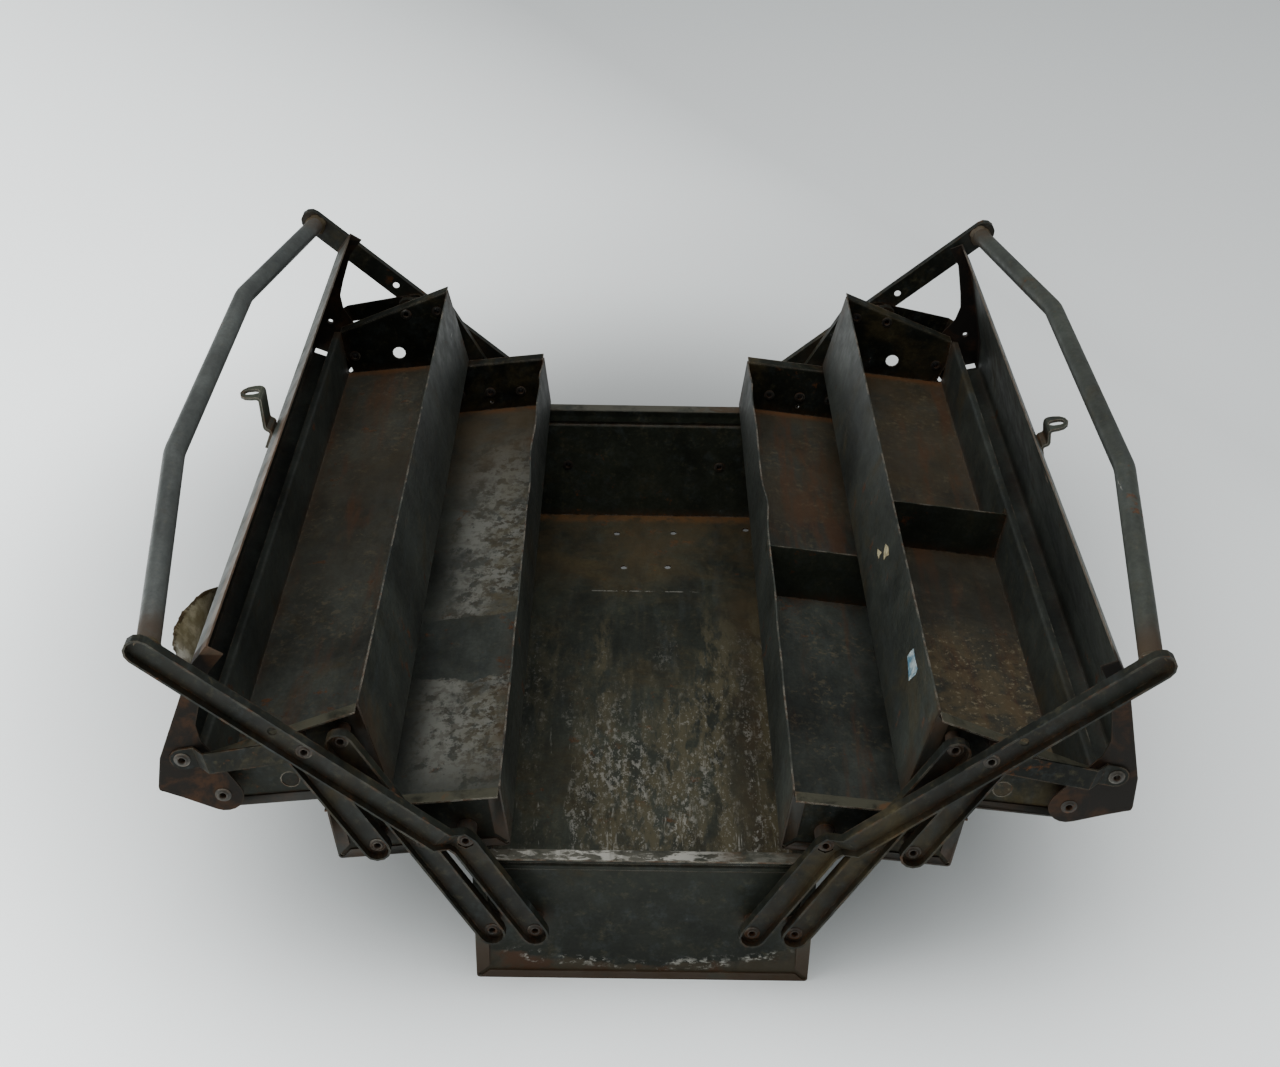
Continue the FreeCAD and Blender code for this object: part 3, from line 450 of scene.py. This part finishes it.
def brown_floor(top, start, end, strength, gritty_front=False):
    """A tray whose floor, all of it under the height top, goes brown from start to end along it."""
    def look(p):
        floor = p.times(p.upward(), p.fade(p.z, top, top + 2, 1.0, 0.0))
        p.cover(FLOOR_BROWN, floor, p.fade(p.y, start, end), p.patches(16.0, 0.24, 0.60, p.at), strength)
        speckle = p.times(floor, p.patches(240.0, 0.52, 0.62))
        p.cover(FLOOR_SPECKLE, speckle, p.patches(20.0, 0.42, 0.62, p.at), 0.45)
        streaks = p.patches(42.0, 0.50, 0.64, p.stretched((1.0, 0.14, 1.0), (1.3, 0.0, 0.0)), 9.0, 0.3)
        p.cover(FLOOR_STREAK, floor, streaks, 0.55)
        if gritty_front:
            front = p.times(floor, p.fade(p.y, -50, -120))
            p.cover(FLOOR_SAND, front, p.patches(48.0, 0.42, 0.60, p.at, 11.0), 0.7)
            p.cover(FLOOR_GRIT, front, p.patches(300.0, 0.57, 0.62, detail=7.0, twist=0.0), 0.7)
            blots = p.patches(22.0, 0.38, 0.52, p.stretched((1.0, 1.0, 1.0), (5.0, 2.0, 0.0)))
            p.cover(FLOOR_SOOT, floor, p.band(p.y, -100, -10, 30), blots, 0.6)
        rusty_ends(p, floor)
    return look


def tray_end_look(p):
    """The trays' end panels: the folded rims at the front are lighter, olive and rusty."""
    rim = p.times(p.upward(), p.fade(p.y, 100, -100))
    p.cover(RIM_OLIVE, rim, p.patches(45.0, 0.30, 0.55, detail=9.0), 0.85)
    p.cover(RIM_RUST, rim, p.patches(60.0, 0.56, 0.68, p.at, 9.0), 0.8)


def lid_look(p):
    """The lids: end plates near black with patches of rust, and a brown lip on the left one."""
    end = p.fade(p.size(p.y), 258, 266)
    p.cover(LID_SHEET_EDGE, p.times(p.worn, p.inverse(end)), 0.6)
    p.cover(LID_END_BLACK, end, 0.96)
    p.cover(LID_END_RUST, end, p.patches(42.0, 0.46, 0.64, p.at, 11.0), 0.8)
    p.cover(LID_END_WORN, end, p.worn, 0.5)
    left_lip = p.times(p.fade(p.z, 245.2, 246.6), p.fade(p.x, -200, -205))
    p.cover(LID_LIP_BROWN, left_lip, p.fade(p.y, 200, -50, 0.45, 0.9))
    p.cover(LID_LIP_RUST, left_lip, p.fade(p.y, 20, -80), p.patches(40.0, 0.38, 0.60, p.at, 9.0), 0.75)
    p.rough = p.either(p.rough, p.times(end, 0.85))


def tube_look(p):
    """The tubes: brown and rusty by the welds at their ends."""
    end = p.fade(p.size(p.y), 245, 272)
    p.cover(TUBE_END_BROWN, end, p.patches(60.0, 0.30, 0.55, detail=9.0), 0.75)
    p.rough = p.either(p.rough, p.times(end, 0.8))


def dress(material, *names):
    """Gives CAD nodes this material."""
    for name in names:
        nodes[name].data.materials.clear()
        nodes[name].data.materials.append(material)


WALLS = (WALL_DARK, WALL_LIGHT)
base_inside = worn_paint("base_worn", base_look, haze=0.45, shift=1.0)
base_end = worn_paint("base_end_worn", base_end_look, tone=0.56, haze=0.2, rust=0.05, rim=0.7,
                      gloss=0.12, shift=2.0)
tray_paint = {
    "left_lower": worn_paint("left_lower_tray_worn", mottled_floor, tone=1.2, base=WALLS,
                             haze=0.25, shift=3.0),
    "left_upper": worn_paint("left_upper_tray_worn", brown_floor(HIGH_FLOOR_TOP, -300, 200, 0.42),
                             tone=1.2, base=WALLS, haze=0.28, shift=4.0),
    "right_lower": worn_paint("right_lower_tray_worn", brown_floor(LOW_FLOOR_TOP, 30, 120, 0.5),
                              tone=1.2, base=WALLS, haze=0.12, shift=5.0),
    "right_upper": worn_paint("right_upper_tray_worn", brown_floor(HIGH_FLOOR_TOP, -350, 200, 0.6, True),
                              tone=1.15, base=WALLS, haze=0.38, shift=6.0),
}
tray_end = worn_paint("tray_ends_worn", tray_end_look, tone=0.36, haze=0.45, rust=0.35, rim=0.8,
                      grime=0.4, gloss=0.08, shift=6.5)
lid_paint = {
    "left": worn_paint("left_lid_worn", lid_look, tone=1.25, base=WALLS, haze=0.2, rust=0.15,
                       rim=0.9, gloss=0.14, shift=7.0),
    "right": worn_paint("right_lid_worn", lid_look, tone=1.3, base=WALLS, haze=0.15, rust=0.15,
                        rim=0.9, gloss=0.2, shift=8.0),
}
link_dark = worn_paint("links_worn", tone=0.36, haze=0.45, rust=0.3, rim=0.45, grime=0.3, gloss=0.16,
                       worn_to=LINK_EDGE, shift=9.0)
strap_brown = worn_paint("straps_worn", tone=0.24, haze=0.35, rust=0.6, rim=0.5, grime=0.3, gloss=0.08,
                         worn_to=STRAP_EDGE, shift=9.5)
hasp_grey = worn_paint("hasp_worn", tone=1.3, haze=0.3, rim=0.9, shift=11.0)
divider_dark = worn_paint("divider_worn", tone=0.75, haze=0.15, rust=0.1, rim=0.5, gloss=0.1, shift=12.0)
rivet_steel = worn_paint("rivet_worn", base=(RIVET_DARK, RIVET_LIGHT), haze=0.2, rust=0.5, chips=0.4,
                         rim=0.5, gloss=0.2, worn_to=RIVET_EDGE, shift=13.0)
tube_paint = {
    "left": worn_paint("tube_worn", tube_look, base=(TUBE_DARK, TUBE_LIGHT), haze=0.1, rust=0.15,
                       rim=0.0, grime=0.3, gloss=0.35, shift=10.0),
    "right": worn_paint("right_tube_worn", tube_look, base=(OLIVE_TUBE_DARK, OLIVE_TUBE_LIGHT),
                        haze=0.25, rust=0.2, rim=0.0, grime=0.3, gloss=0.28, shift=10.5),
}
weld_rust = worn_paint("weld_worn", base=(WELD_DARK, WELD_LIGHT), haze=0.9, rust=0.9, shift=14.0)

dress(base_inside, "base_body")
dress(base_end, "base_end_front", "base_end_back")
for side in SIDES:
    for level in ("lower", "upper"):
        tray = "{}_{}".format(side, level)
        dress(tray_paint[tray], tray + "_tray_body")
        for end in ENDS:
            dress(tray_end, "{}_tray_end_{}".format(tray, end))
    dress(lid_paint[side], side + "_lid_cover")
    dress(hasp_grey, side + "_lid_hasp")
    for end in ENDS:
        for kind in ("handle_arm", "long_link", "short_link"):
            dress(link_dark, "{}_{}_{}".format(side, kind, end))
        dress(strap_brown, "{}_strap_{}".format(side, end))
dress(divider_dark, "right_lower_tray_divider", "right_upper_tray_divider")


# Mesh helpers
MERGE = 1e-6


def piece(name, mesh, material, body, slot, *stands_for):
    """Makes a piece of the visual model from mesh code."""
    bmesh.ops.recalc_face_normals(mesh, faces=mesh.faces)
    data = bpy.data.meshes.new(name)
    mesh.to_mesh(data)
    mesh.free()
    thing = bpy.data.objects.new(name, data)
    bpy.context.collection.objects.link(thing)
    data.materials.append(material)
    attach(thing, body)
    if stands_for:
        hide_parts(*stands_for)
    return thing


def smooth_by_angle(thing, limit=40.0):
    """Round faces look round, and edges sharper than the limit stay sharp."""
    for face in thing.data.polygons:
        face.use_smooth = True
    thing.data.set_sharp_from_angle(angle=math.radians(limit))


def node_mesh(name):
    """A CAD node's mesh as a copy to work on, with its doubled points joined."""
    mesh = bmesh.new()
    mesh.from_mesh(nodes[name].data)
    bmesh.ops.remove_doubles(mesh, verts=mesh.verts, dist=MERGE)
    return mesh


def islands(name):
    """The separate solids of a CAD node, each as a list of its points."""
    mesh = node_mesh(name)
    left = set(mesh.verts)
    groups = []
    for seed in list(mesh.verts):
        if seed not in left:
            continue
        left.remove(seed)
        stack = [seed]
        group = [seed]
        while stack:
            for edge in stack.pop().link_edges:
                for vert in edge.verts:
                    if vert in left:
                        left.remove(vert)
                        stack.append(vert)
                        group.append(vert)
        groups.append([vert.co.copy() for vert in group])
    mesh.free()
    return groups


def middle(points, axis):
    values = [point[axis] for point in points]
    return (min(values) + max(values)) / 2


def join_rings(mesh, first, second):
    """A strip of faces between two rings of equal length."""
    for step in range(len(first)):
        after = (step + 1) % len(first)
        mesh.faces.new((first[step], first[after], second[after], second[step]))


def grid_faces(mesh, grid):
    """Faces between the neighbours of a grid of points."""
    for row, after in zip(grid, grid[1:]):
        for j in range(len(row) - 1):
            mesh.faces.new((row[j], after[j], after[j + 1], row[j + 1]))


# Hollow rivets
BORE = 1.9 * MM
SHANK = 2.4 * MM
SHOULDERED = 3 * MM
RIVET_SIDES = 24
# The rolled rim: share of the head's radius, and millimetres above the foot of the head
ROLLED_RIM = ((1.0, 0.0), (1.0, 0.25), (0.90, 0.45), (0.76, 0.55), (0.70, 0.85))


def eyelet(mesh, points):
    """A hollow rivet in place of one solid of a rivet node: shank, shoulder and rolled rims."""
    x = middle(points, 0)
    z = middle(points, 2)
    outward = 1 if middle(points, 1) > 0 else -1
    # The widest radius at each distance from the middle of the box
    reach = {}
    for point in points:
        key = round(abs(point.y), 5)
        reach[key] = max(reach.get(key, 0.0), math.hypot(point.x - x, point.z - z))
    levels = sorted(reach)
    first, over, last = levels[0], levels[-2], levels[-1]
    wide, head = reach[first], reach[last]
    if wide > SHOULDERED:
        inner = levels[1]
        profile = [(BORE, inner), (BORE * 1.06, first + 0.2 * MM), (BORE * 1.25, first)]
        profile += [(wide * 0.75, first + 0.1 * MM), (wide, first + 0.5 * MM), (wide, inner), (SHANK, inner)]
        shoulders = levels[2:-2]
    else:
        profile = [(BORE, first), (SHANK, first)]
        shoulders = []
    for start, end in zip(shoulders[0::2], shoulders[1::2]):
        profile += [(SHANK, start), (reach[start], start), (reach[end], end), (SHANK, end)]
    profile += [(SHANK, over)]
    profile += [(head * share, over + rise * MM) for share, rise in ROLLED_RIM]
    profile += [(head * 0.60, last), (head * 0.50, last)]
    profile += [(BORE * 1.08, last - 0.25 * MM), (BORE, last - 0.6 * MM)]
    turn = [2 * math.pi * step / RIVET_SIDES for step in range(RIVET_SIDES)]
    rings = []
    for radius, y in profile:
        ring = [(x + radius * math.cos(a), y * outward, z + radius * math.sin(a)) for a in turn]
        rings.append([mesh.verts.new(point) for point in ring])
    for ring, after in zip(rings, rings[1:] + rings[:1]):
        join_rings(mesh, ring, after)


rivet_bodies = {"base_pivot_rivets": "base"}
for side in SIDES:
    rivet_bodies[side + "_handle_strap_rivets"] = side + "_handle"
    rivet_bodies[side + "_lid_strap_rivets"] = side + "_lid"
    rivet_bodies[side + "_lower_tray_rivets"] = side + "_lower_tray"
    rivet_bodies[side + "_upper_tray_rivets"] = side + "_upper_tray"
for name, body in rivet_bodies.items():
    mesh = bmesh.new()
    for group in islands(name):
        eyelet(mesh, group)
    eyelets = piece(name.replace("rivets", "eyelets"), mesh, rivet_steel, body, "rivet_steel", name)
    smooth_by_angle(eyelets, 50.0)


# Handle tubes
TUBE_RADIUS = 6.5 * MM
BEND_RADIUS = 60 * MM
TIP_X, TIP_Y, TIP_Z = -261.714 * MM, 282.7 * MM, 254.36 * MM
BOW_X, BOW_Y, BOW_Z = -283.65 * MM, 110 * MM, 273.03 * MM
BEAD_STEP = 0.9 * MM
BEAD_POINTS = 6


def rounded(points, radius, steps=14):
    """The line through the points with its inner corners turned into arcs."""
    line = [points[0]]
    for before, corner, after in zip(points, points[1:], points[2:]):
        to_before = (before - corner).normalized()
        to_after = (after - corner).normalized()
        half = to_before.angle(to_after) / 2
        inward = (to_before + to_after).normalized()
        centre = corner + inward * (radius / math.sin(half))
        start = corner + to_before * (radius / math.tan(half))
        end = corner + to_after * (radius / math.tan(half))
        sweep = (start - centre).angle(end - centre)
        axis = (start - centre).cross(end - centre).normalized()
        for step in range(steps + 1):
            turn = Matrix.Rotation(sweep * step / steps, 3, axis)
            line.append(centre + turn @ (start - centre))
    line.append(points[-1])
    return line


def pipe(mesh, line, radius_at, sides=28):
    """A round skin along the line with flat ends. radius_at(share along, angle) gives its radius."""
    lengths = [0.0]
    for a, b in zip(line, line[1:]):
        lengths.append(lengths[-1] + (b - a).length)
    rings = []
    side_way = Vector((0.3, 0.0, 1.0))
    for index, point in enumerate(line):
        ahead = (line[min(index + 1, len(line) - 1)] - line[max(index - 1, 0)]).normalized()
        side_way = (side_way - ahead * side_way.dot(ahead)).normalized()
        up_way = ahead.cross(side_way)
        ring = []
        for step in range(sides):
            angle = 2 * math.pi * step / sides
            radius = radius_at(lengths[index] / lengths[-1], angle)
            spoke = side_way * math.cos(angle) + up_way * math.sin(angle)
            ring.append(mesh.verts.new(point + spoke * radius))
        rings.append(ring)
    for ring, after in zip(rings, rings[1:]):
        join_rings(mesh, ring, after)
    mesh.faces.new(rings[0])
    mesh.faces.new(rings[-1][::-1])


def tube_radius(share, angle):
    return TUBE_RADIUS


def bead_radius(share, angle):
    """A lumpy weld bead, high at the arm and running out along the tube."""
    lumps = 1.5 + 0.5 * math.sin(5 * angle) + 0.3 * math.sin(11 * angle + 1)
    return TUBE_RADIUS + lumps * MM * math.cos(share * math.pi / 2) ** 0.7 - 0.1 * MM * share


for side, sign in zip(SIDES, (1, -1)):
    front_tip = Vector((TIP_X * sign, -TIP_Y, TIP_Z))
    front_bow = Vector((BOW_X * sign, -BOW_Y, BOW_Z))
    back_bow = Vector((BOW_X * sign, BOW_Y, BOW_Z))
    back_tip = Vector((TIP_X * sign, TIP_Y, TIP_Z))
    body = side + "_handle"
    mesh = bmesh.new()
    pipe(mesh, rounded([front_tip, front_bow, back_bow, back_tip], BEND_RADIUS), tube_radius)
    smooth_by_angle(piece(side + "_tube", mesh, tube_paint[side], body, "tube_paint", body + "_tube"))
    mesh = bmesh.new()
    for start, toward in ((front_tip, front_bow), (back_tip, back_bow)):
        way = (toward - start).normalized()
        pipe(mesh, [start + way * (BEAD_STEP * step) for step in range(BEAD_POINTS)], bead_radius)
    smooth_by_angle(piece(side + "_tube_welds", mesh, weld_rust, body, "tube_paint"), 60.0)


# Dented tray walls
TRAY_END_Y = 263.95 * MM
DROOP = math.radians(7.0)
INNER_FOOT = {"lower": (77.05 * MM, 107.03 * MM), "upper": (143.1 * MM, 144.63 * MM)}
SLICE = 8 * MM
SLICES_EACH_WAY = 32
# The wall moves by the height above its stiff foot, and less and less within its stiff ends
STIFF_FOOT = 8 * MM
STIFF_END = 25 * MM
WALL_TOP_REACH = 5 * MM
MOVED_REACH = 6 * MM
BEND_POWER = 1.4
WAVE = 0.35 * MM
# Each dent as place along the wall, half width and depth, in millimetres
DENTS = {
    "left_lower": ((190, 28, 1.2), (120, 35, 2.4), (0, 50, 0.8), (235, 12, 1.5)),
    "right_lower": ((130, 45, 0.8), (45, 22, 3.0), (-50, 60, 1.4), (225, 15, 1.0)),
    "left_upper": ((100, 60, 1.0), (-120, 50, 0.8)),
    "right_upper": ((160, 50, 1.0), (-20, 60, 1.2)),
}


def dented(tray, dents):
    """The tray's sheet with its inner wall pushed in at the dents."""
    side, level = tray.split("_")
    sign = 1 if side == "right" else -1
    node = tray + "_tray_body"
    outward = Vector((sign * math.cos(DROOP), 0.0, -math.sin(DROOP)))
    upward = Vector((sign * math.sin(DROOP), 0.0, math.cos(DROOP)))
    foot = Vector((sign * INNER_FOOT[level][0], 0.0, INNER_FOOT[level][1]))
    mesh = node_mesh(node)
    bmesh.ops.dissolve_limit(mesh, angle_limit=math.radians(0.5), verts=mesh.verts, edges=mesh.edges)
    for step in range(-SLICES_EACH_WAY, SLICES_EACH_WAY + 1):
        everything = mesh.verts[:] + mesh.edges[:] + mesh.faces[:]
        place = (0.0, step * SLICE, 0.0)
        bmesh.ops.bisect_plane(mesh, geom=everything, plane_co=place, plane_no=(0.0, 1.0, 0.0))
    bmesh.ops.triangulate(mesh, faces=mesh.faces)
    near_wall = [v.co - foot for v in mesh.verts if (v.co - foot).dot(outward) < WALL_TOP_REACH]
    height = max(reach.dot(upward) for reach in near_wall)
    for vert in mesh.verts:
        out = (vert.co - foot).dot(outward)
        up = (vert.co - foot).dot(upward)
        y = vert.co.y
        if out > MOVED_REACH or up < STIFF_FOOT or abs(y) >= TRAY_END_Y:
            continue
        share = ((up - STIFF_FOOT) / (height - STIFF_FOOT)) ** BEND_POWER
        push = sum(depth * MM * math.exp(-((y - at * MM) / (width * MM)) ** 2) for at, width, depth in dents)
        push += WAVE * (1 + math.sin(y * 61 + sign) * math.sin(y * 23 + 1.3))
        held = min(1.0, (TRAY_END_Y - abs(y)) / STIFF_END)
        vert.co += outward * (push * share * held)
    name = node.replace("body", "sheet")
    smooth_by_angle(piece(name, mesh, tray_paint[tray], tray + "_tray", "tray_paint", node), 30.0)


for tray, dents in DENTS.items():
    dented(tray, dents)


# Remains of paper
# Lengths here are in millimetres, but for LEFT_OF_LID, a place left of the lid that rays start from
TO_THE_RIGHT = Vector((1.0, 0.0, 0.0))
LEFT_OF_LID = -0.4
LABEL_FRONT_END = -216
LABEL_BACK_END = -138
LABEL_FOOT_Z = 178
LABEL_RISE = 17.5
LABEL_STAND_OFF = 17.5
LABEL_LIFT = 0.4
LABEL_WAVE = 0.8
LABEL_TORN_HEIGHT = 1.3
LABEL_THICKNESS = 0.25
LABEL_CELLS_ALONG = 36
LABEL_CELLS_UP = 12
SCRAP_LIFT = 0.12
SCRAP_THICKNESS = 0.2
BLUE_SCRAP = ((-185.5, 186.5), (-187, 191), (-189.7, 195.4), (-199, 194.6), (-208.8, 195),
              (-209.4, 191), (-206, 186), (-203.5, 182.2), (-194, 184.5))
YELLOW_SCRAPS = {
    "yellow_paper_scrap_a": ((-67, 188.5), (-74, 191), (-81.4, 189.5), (-77, 185.5), (-75.7, 182.1),
                             (-70, 184)),
    "yellow_paper_scrap_b": ((-54.5, 176.8), (-60.4, 179), (-66, 181.5), (-64, 178), (-64.8, 175.6),
                             (-59, 175.2)),
}


def old_paper(name, pale, stain):
    """Paper with fibres and stains."""
    p = Paint(name)
    p.height = p.noise(260.0, 8.0, 0.75)
    p.colour = p.mix(pale, stain, p.ramp(p.noise(95.0, 5.0, 0.65), 0.40, 0.62))
    p.shade(p.ramp(p.height, 0.3, 0.7, 0.7, 1.15))
    return p.finish(0.3 * MM)


def torn_label():
    """Stained paper, whiter to the front, with a dark ragged edge."""
    p = Paint("torn_paper")
    p.height = p.noise(260.0, 8.0, 0.75)
    stain = p.ramp(p.noise(60.0, 6.0, 0.7), 0.38, 0.60)
    p.colour = p.mix(LABEL_PALE, LABEL_STAIN, stain)
    p.cover(LABEL_WHITE, p.fade(p.y, -182, -200), p.ramp(stain, 0.2, 0.8, 1.0, 0.35))
    level = p.plus(p.z, p.ramp(p.height, 0.3, 0.7, -1.5 * MM, 1.5 * MM))
    p.cover(LABEL_TORN, p.fade(level, 192.8, 194.6), 0.9)
    return p.finish(0.3 * MM, 0.1)


def surface(thing):
    """A mesh as something that rays can be shot at."""
    points = [vert.co.copy() for vert in thing.data.vertices]
    return BVHTree.FromPolygons(points, [tuple(face.vertices) for face in thing.data.polygons])


def ragged(value, seed):
    """A torn line's ups and downs, between about -1 and 1."""
    slow = 0.5 * math.sin(value * 97 + seed)
    return slow + 0.3 * math.sin(value * 211 + 2 * seed) + 0.2 * math.sin(value * 431 + 3 * seed)


def paper_flap():
    """A torn label on the outside of the left lid, its upper edge standing off the sheet."""
    lid = surface(nodes["left_lid_cover"])
    mesh = bmesh.new()
    grid = []
    for i in range(LABEL_CELLS_ALONG + 1):
        share = i / LABEL_CELLS_ALONG
        y = (LABEL_BACK_END + (LABEL_FRONT_END - LABEL_BACK_END) * share) * MM
        stand_off = LABEL_STAND_OFF * MM * math.sqrt(max(0.0, math.sin(math.pi * share)))
        row = []
        for j in range(LABEL_CELLS_UP + 1):
            rise = j / LABEL_CELLS_UP
            z = (LABEL_FOOT_Z + LABEL_RISE * rise + LABEL_TORN_HEIGHT * rise ** 4 * ragged(share, 1.0)) * MM
            sheet = lid.ray_cast(Vector((LEFT_OF_LID, y, z)), TO_THE_RIGHT)[0]
            wave = LABEL_WAVE * MM * rise * ragged(share * 0.3 + rise * 0.2, 4.0)
            out = LABEL_LIFT * MM + stand_off * rise ** 1.3 + wave * math.sin(math.pi * share)
            row.append(mesh.verts.new((sheet.x - out, y, z)))
        grid.append(row)
    grid_faces(mesh, grid)
    flap = piece("left_lid_paper_flap", mesh, torn_label(), "left_lid", "lid_paint")
    solid = flap.modifiers.new("thickness", "SOLIDIFY")
    solid.thickness = LABEL_THICKNESS * MM
    solid.offset = 1.0
    for face in flap.data.polygons:
        face.use_smooth = True


def scrap(name, outline, material):
    """A scrap of bare paper on the upper right tray's inner wall, its outline as (y, z) in millimetres."""
    wall = surface(bpy.data.objects["right_upper_tray_sheet"])
    mesh = bmesh.new()
    ring = []
    for y, z in outline:
        hit = wall.ray_cast(Vector((0.0, y * MM, z * MM)), TO_THE_RIGHT)[0]
        ring.append(mesh.verts.new(hit - Vector((SCRAP_LIFT * MM, 0.0, 0.0))))
    face = mesh.faces.new(ring)
    made = bmesh.ops.extrude_face_region(mesh, geom=[face])
    for vert in (item for item in made["geom"] if isinstance(item, bmesh.types.BMVert)):
        vert.co.x -= SCRAP_THICKNESS * MM
    piece(name, mesh, material, "right_upper_tray", "tray_paint")


paper_flap()
scrap("blue_paper_scrap", BLUE_SCRAP, old_paper("pale_blue_paper", BLUE_PALE, BLUE_STAIN))
yellow_paper = old_paper("yellow_paper", YELLOW_PALE, YELLOW_STAIN)
for name, outline in YELLOW_SCRAPS.items():
    scrap(name, outline, yellow_paper)


# Stage, light and camera
STAGE_SIZE = 14.0
STAGE_CELLS = 40
STAGE_PALE = rgb(0.80, 0.82, 0.81)
STAGE_GREY = rgb(0.76, 0.79, 0.79)
STAGE_GLOW = rgb(0.95, 1.0, 1.0)
DAYLIGHT = rgb(0.92, 0.97, 1.0)
DAYLIGHT_STRENGTH = 0.34
LENS = 50.1
PITCH, YAW, ROLL = (math.radians(value) for value in (32.552, 0.523, -1.158))
CAMERA_PLACE = (-0.01374, -1.02954, 0.80819)


def stage_paper():
    """Pale paper with a painted shadow under and behind the box, and a painted glow that falls off to the
    back and right and fades out near the box as painted shadow.
    """
    p = Paint("studio_paper")
    p.colour = p.mix(STAGE_PALE, STAGE_GREY, p.noise(0.8, 2.0, 0.5))
    # Painted shadow: the paper goes darker towards a spot just behind the box.
    p.shade(p.ramp(p.distance(0.0, 0.45), 0.04, 0.62, 0.40, 1.0))
    # Painted shade: the paper under the box is darker, as seen through the holes in its floor.
    under = p.times(p.band(p.x, -100, 100, 1), p.band(p.y, -260, 260, 1))
    p.shade(p.ramp(under, 0.0, 1.0, 1.0, 0.4))
    p.height = p.noise(300.0, 2.0)
    paper = p.finish(0.05 * MM)
    shader = next(node for node in paper.node_tree.nodes if node.type == "BSDF_PRINCIPLED")
    shader.inputs["Emission Color"].default_value = STAGE_GLOW
    # Painted light: the paper glows, brighter to the left and front, and the glow fades out near the box as
    # painted shadow.
    glow = p.calc("MULTIPLY_ADD", p.x, -1.10, 0.98)
    glow = p.calc("MULTIPLY_ADD", p.y, -0.60, glow)
    glow = p.times(p.either(glow, 0.12), p.ramp(p.distance(0.0, 0.12), 0.28, 0.66))
    p.link(glow, shader.inputs["Emission Strength"])
    return paper


def stage_floor():
    mesh = bmesh.new()
    steps = range(STAGE_CELLS + 1)
    xs = [STAGE_SIZE * (i / STAGE_CELLS - 0.5) for i in steps]
    ys = [STAGE_SIZE * (j / STAGE_CELLS - 0.4) for j in steps]
    grid_faces(mesh, [[mesh.verts.new((x, y, 0.0)) for y in ys] for x in xs])
    data = bpy.data.meshes.new("studio_floor")
    mesh.to_mesh(data)
    mesh.free()
    floor = bpy.data.objects.new("studio_floor", data)
    bpy.context.collection.objects.link(floor)
    data.materials.append(stage_paper())


def area_light(name, place, aim, size, power):
    data = bpy.data.lights.new(name, "AREA")
    data.shape = "RECTANGLE"
    data.size, data.size_y = size
    data.energy = power
    lamp = bpy.data.objects.new(name, data)
    lamp.location = place
    lamp.rotation_euler = (Vector(aim) - Vector(place)).to_track_quat("-Z", "Y").to_euler()
    bpy.context.collection.objects.link(lamp)


def photo_camera():
    """The camera found from the photograph: place, lens, pitch, yaw and roll."""
    ahead = Vector((math.sin(YAW) * math.cos(PITCH), math.cos(YAW) * math.cos(PITCH), -math.sin(PITCH)))
    level = Vector((math.cos(YAW), -math.sin(YAW), 0.0))
    down = ahead.cross(level)
    right = level * math.cos(ROLL) + down * math.sin(ROLL)
    below = down * math.cos(ROLL) - level * math.sin(ROLL)
    data = bpy.data.cameras.new("photo_camera")
    data.lens = LENS
    data.clip_end = 50.0
    camera = bpy.data.objects.new("photo_camera", data)
    matrix = Matrix((right, -below, -ahead)).transposed().to_4x4()
    matrix.translation = Vector(CAMERA_PLACE)
    camera.matrix_world = matrix
    bpy.context.collection.objects.link(camera)
    bpy.context.scene.camera = camera


stage_floor()
area_light("sky", (-0.2, -0.2, 2.4), (0.0, 0.0, 0.0), (2.2, 2.2), 50.0)
area_light("left_bank", (-1.9, -0.9, 1.5), (0.0, 0.0, 0.15), (1.4, 2.0), 24.0)
area_light("right_bank", (2.0, -0.6, 1.6), (0.0, 0.0, 0.15), (1.2, 2.0), 10.0)
world = bpy.data.worlds.new("studio")
bpy.context.scene.world = world
world.use_nodes = True
sky = world.node_tree.nodes["Background"]
sky.inputs["Color"].default_value = DAYLIGHT
sky.inputs["Strength"].default_value = DAYLIGHT_STRENGTH
photo_camera()
